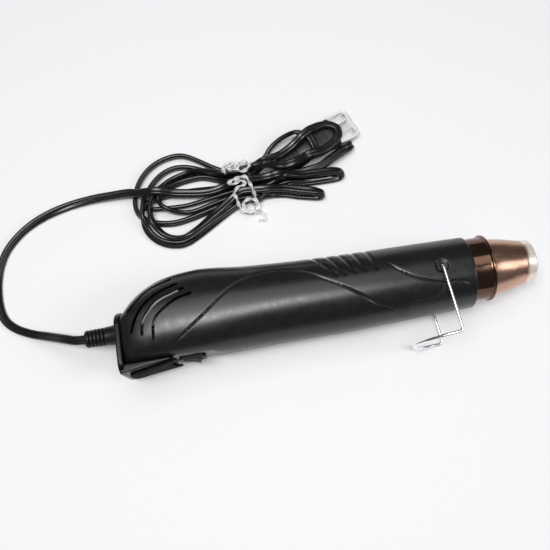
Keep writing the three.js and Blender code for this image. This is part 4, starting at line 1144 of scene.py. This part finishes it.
def make_switch(materials):
    outline = rounded_rectangle(7.5, 5.6, 1.4, 6)
    rim = rounded_slab(outline, SOLE_Y - 1.5, SOLE_Y - GAP, 0.4)
    lay = Matrix(((1, 0, 0, SWITCH_X), (0, 0, 1, 0), (0, -1, 0, 0), (0, 0, 0, 1)))
    body = draft("switch_frame", moved(rim, lay))
    can = rounded_rectangle(6, 4.3, 0.4, 3)
    combine(body, "UNION", moved(prism(can, SOLE_Y - 1, SOLE_Y + 10), lay))
    well = rounded_rectangle(5.2, 3.9, 0.5, 3)
    combine(body, "DIFFERENCE", moved(prism(well, SOLE_Y - 5, SOLE_Y + 3.2), lay))
    place(body)
    dress(body, materials["switch"], "switch", "gun_body", "switch_body")
    side = [(4.5, -3), (4.3, 0.6)]
    for k in range(1, 8):
        t = k / 8
        side.append((4.3 - 8.6 * t, 0.6 + 1.8 * 2 * t * (1 - t)))
    side += [(-4.3, 0.6), (-4.5, -3), (-2.4, -2.7), (0, -2.6), (2.4, -2.7)]
    rocker = rounded_slab(side, -3.6, 3.6, 0.35, 3)
    turn = Matrix.Translation((SWITCH_X, SOLE_Y, 0)) @ Matrix.Rotation(-ROCKER_TILT, 4, "Z")
    paddle = place(draft("switch_paddle", moved(rocker, turn)))
    dress(paddle, materials["switch"], "switch", "rocker", "switch_rocker")
    return body, paddle


# ---- nozzle, collar and stand ----

def make_nozzle(materials):
    base = FLANGE_X - 3
    outer = [(base, 15.2), (base, 16.6), (base + 0.15, 16.9), (base + 0.4, 17), (base + 0.9, 17),
             (base + 1.1, 16.7), (base + 1.4, 16.5)]
    cone = spline([(FLANGE_X - 1.2, 16.5, 0), (FLANGE_X + 3, 16.45, 0), (FLANGE_X + 7, 16.05, 0),
                   (FLANGE_X + 13, 15, 0), (TIP_X - 8, 13.3, 0), (TIP_X - 5.4, 12.75, 0)], 1.2)
    outer += [(x, r) for x, r, _ in cone]
    outer += [(TIP_X - 5.2, 12.62), (TIP_X - 5, 12.6), (TIP_X - 2.2, 12.42), (TIP_X - 0.9, 12.3),
              (TIP_X - 0.4, 12.15), (TIP_X - 0.1, 11.85), (TIP_X, 11.5), (TIP_X - 0.05, 11.2),
              (TIP_X - 0.3, 11.05)]
    inner = [(TIP_X - 6, 12), (FLANGE_X + 13, 14.2), (FLANGE_X + 7, 15.1), (FLANGE_X + 3, 15.4)]
    shape = moved(lathe(outer + inner, 128), Matrix.Translation((0, NOSE_Y, 0)))
    nozzle = place(draft("air_nozzle", shape), smooth=50)
    return dress(nozzle, materials["nozzle"], "copper_metal", "gun_body", "nozzle")


def make_collar(materials):
    mouth = 16.9
    front = FLANGE_X + FLANGE_THICK
    profile = [(196, 15.8), (196, 16.8), (196.2, 17), (BODY_FRONT + GAP, 17),
               (BODY_FRONT + GAP, 17.9), (BODY_FRONT + 0.5, 18.15), (BODY_FRONT + 0.9, 18.2),
               (FLANGE_X - 0.8, 18.2), (FLANGE_X - 0.3, 18.3), (FLANGE_X - 0.05, 18.6),
               (FLANGE_X, 18.95), (FLANGE_X + 0.1, 19.15), (FLANGE_X + 0.35, 19.3),
               (front - 0.35, 19.3), (front - 0.1, 19.15), (front, 18.9), (front, mouth + 0.3),
               (front - 0.1, mouth + 0.05), (front - 0.3, mouth), (FLANGE_X, mouth),
               (FLANGE_X - 1, 17.3), (BODY_FRONT + 2, 17.3), (BODY_FRONT, 15.8)]
    shape = moved(lathe(profile, 128), Matrix.Translation((0, NOSE_Y, 0)))
    collar = place(draft("bronze_collar", shape), smooth=40)
    return dress(collar, materials["bronze"], "bronze_metal", "gun_body", "collar")


def wire_bend(start, corner, end):
    """Points round a bend from start to end that is drawn towards the corner between them."""
    start, corner, end = Vector(start), Vector(corner), Vector(end)
    return [start * (1 - t) ** 2 + corner * 2 * t * (1 - t) + end * t**2
            for t in np.linspace(0, 1, 8)]


def make_stand(materials):
    """Sprung wire bail: two hooks in the shells, two legs and a half-round foot."""
    half, bend = STAND_HALF, 2.2
    hook_end = half - 6
    leg = [Vector((0, 0, hook_end)), Vector((0, 0, half - bend - 1.2))]
    leg += wire_bend((0, 0, half - bend), (0, 0, half), (0, -bend, half))
    leg += [Vector((0, y, half)) for y in (-8, -16, -24, -30)]
    leg += wire_bend((0, bend - STAND_LEG, half), (0, -STAND_LEG, half), (-bend, -STAND_LEG, half))
    foot = []
    for k in range(1, 32):
        angle = math.pi * k / 32
        foot.append(Vector((-bend - (half - bend) * math.sin(angle), -STAND_LEG,
                            half * math.cos(angle))))
    back = [Vector((p.x, p.y, -p.z)) for p in reversed(leg)]
    lean = Matrix.Translation((HINGE_X, HINGE_Y, 0)) @ Matrix.Rotation(STAND_LEAN, 4, "Z")
    bail = moved(wire([*leg, *foot, *back], WIRE_R, 20), lean)
    stand = place(draft("stand_bail", bail), smooth=60)
    return dress(stand, materials["chrome"], "chrome", "stand", "stand_wire")


# ---- screws and heater ----

def cross_screw(name, head, into, radius, thick, length):
    """Pan-head screw with a cross recess; head is the top's middle, into its direction."""
    profile = [(0, 0.001), (0, radius * 0.55), (thick * 0.25, radius * 0.9), (thick * 0.6, radius),
               (thick, radius), (thick, 1.0), (length, 0.9), (length + 0.4, 0.001)]
    blade = rounded_corners([(-0.3, -1.15, 0.05), (0.95, -0.25, 0.05), (0.95, 0.25, 0.05),
                             (-0.3, 1.15, 0.05)], 2)
    cross = prism(blade, -0.22, 0.22)
    other = moved(cross, Matrix.Rotation(math.pi / 2, 4, "X"))
    screw = draft(name, lathe(profile, 40))
    combine(screw, "DIFFERENCE", cross, other)
    turn = Vector(into).to_track_quat("X", "Z").to_matrix().to_4x4()
    screw.data.transform(Matrix.Translation(head) @ turn)
    return place(screw)


def make_screws(materials):
    for index, (x, y) in enumerate(HOUSING_SCREWS):
        seat = -flank_at(x, y) + 3.4
        screw = cross_screw(f"shell_screw_{index + 1}", (x, y, seat - 2), (0, 0, 1), 1.7, 1.7,
                            6.2 - (seat - 2))
        dress(screw, materials["steel"], "steel", "gun_body", f"housing_screw_{index + 1}")
    for index, (x, z) in enumerate(HEEL_SCREWS):
        seat = SOLE_Y - 1.5
        screw = cross_screw(f"heel_fixing_{index + 1}", (x, seat - 1.2, z), (0, 1, 0), 2.1, 0.9,
                            SOLE_Y + 5.6 - (seat - 1.2))
        dress(screw, materials["steel"], "steel", "gun_body", f"heel_screw_{index + 1}")


def make_coils(materials):
    """Round helices for the two resistance windings."""
    tube_rear, tube_front, radius = 142, 206.5, 10
    for name, start, end, turns, node_name in (
            ("dropper_winding", tube_rear + 6, tube_rear + 13, 2, "dropper_coil"),
            ("heater_winding", tube_rear + 18, tube_front - 8, 7, "heater_coil")):
        path = []
        for k in range(turns * 40 + 1):
            angle = 2 * math.pi * k / 40
            x = start + (end - start) * k / (turns * 40)
            path.append((x, radius * math.cos(angle), radius * math.sin(angle)))
        coil = place(draft(name, wire(path, 0.5, 10)), smooth=60)
        dress(coil, materials["nichrome"], "nichrome", "gun_body", node_name)


# ---- CAD nodes that stay, with their materials ----

KEPT_NODES = {
    "cord": ["cord_tail"],
    "part": ["cord_clamp", "rectifier_diode_1", "rectifier_diode_2", "rectifier_diode_3",
             "rectifier_diode_4", "motor_bracket"],
    "steel": ["clamp_screw_1", "clamp_screw_2", "motor_case", "motor_screw_1", "motor_screw_2",
              "motor_shaft", "thermal_fuse"],
    "brass": ["switch_terminal_1", "switch_terminal_2", "motor_brush_tab_1", "motor_brush_tab_2"],
    "board": ["rectifier_board"],
    "capacitor": ["filter_capacitor"],
    "fan": ["fan"],
    "mica": ["mica_tube", "former_plate_1", "former_plate_2"],
    "insulator": ["front_insulator"],
    "red": ["lead_live", "lead_switched", "heater_lead_2"],
    "blue": ["lead_neutral", "heater_lead_1"],
}


def finish_kept_nodes(materials):
    for finish, names in KEPT_NODES.items():
        for name in names:
            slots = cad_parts[name].data.materials
            if len(slots):
                slots[0] = materials[finish]
            else:
                slots.append(materials[finish])


# ---- stage ----

def make_camera():
    yaw, slope, roll = (math.radians(a) for a in (CAMERA_YAW, CAMERA_ELEVATION, CAMERA_ROLL))
    level = math.cos(slope)
    ahead = Vector((math.sin(yaw) * level, math.cos(yaw) * level, -math.sin(slope)))
    right = Vector((math.cos(yaw), -math.sin(yaw), 0))
    up = right.cross(ahead)
    side = right * math.cos(roll) + up * math.sin(roll)
    top = up * math.cos(roll) - right * math.sin(roll)
    data = bpy.data.cameras.new("camera")
    data.lens, data.sensor_width = CAMERA_LENS, 36
    data.clip_start, data.clip_end = 0.01, 20
    camera = bpy.data.objects.new("camera", data)
    turn = Matrix((side, top, -ahead)).transposed().to_4x4()
    camera.matrix_world = Matrix.Translation(CAMERA_AT) @ turn
    bpy.context.scene.collection.objects.link(camera)
    bpy.context.scene.camera = camera


def make_floor():
    size = 6.0
    corners = [(-size, -size, 0), (size, -size, 0), (size, size, 0), (-size, size, 0)]
    floor = draft("floor", (corners, [[0, 1, 2, 3]]))
    pale = material("pale_table", (0.86, 0.865, 0.875), 0.9, Specular_IOR_Level=0.1)
    floor.data.materials.append(pale)


def make_light(name, at, toward, size, energy):
    data = bpy.data.lights.new(name, "AREA")
    data.shape = "RECTANGLE"
    data.size, data.size_y = size
    data.energy = energy
    light = bpy.data.objects.new(name, data)
    light.location = at
    light.rotation_mode = "QUATERNION"
    light.rotation_quaternion = (Vector(toward) - Vector(at)).to_track_quat("-Z", "Y")
    bpy.context.scene.collection.objects.link(light)


def make_lights():
    """Bright strip overhead, a dim wide softbox beyond it, a window on the right, a dim room."""
    make_light("strip", (-0.14, -0.12, 1.2), (-0.1, -0.02, 0), (0.8, 0.24), 11)
    make_light("wide", (-0.05, 0.35, 1.2), (-0.05, 0, 0), (1.0, 0.6), 3.4)
    make_light("window", (1.0, -0.32, 0.95), (0.1, 0, 0), (0.5, 0.6), 3.6)
    world = bpy.data.worlds.new("studio")
    world.use_nodes = True
    world.node_tree.nodes["Background"].inputs["Color"].default_value = (0.95, 0.97, 1, 1)
    world.node_tree.nodes["Background"].inputs["Strength"].default_value = 0.11
    bpy.context.scene.world = world
    bpy.context.scene.view_settings.view_transform = "Standard"


# ---- assembly ----

make_camera()
MATERIALS = make_materials()
lead, lead_line = make_lead(MATERIALS)
plug_pieces = make_plug(MATERIALS)
pin_cap = make_pin_cap(MATERIALS)
tie = make_tie(MATERIALS, lead_line)

make_housing(MATERIALS)
make_heel(MATERIALS)
make_sole(MATERIALS)
make_strain_relief(MATERIALS)
make_switch(MATERIALS)
make_nozzle(MATERIALS)
make_collar(MATERIALS)
make_stand(MATERIALS)
make_screws(MATERIALS)
make_coils(MATERIALS)
finish_kept_nodes(MATERIALS)
make_floor()
make_lights()
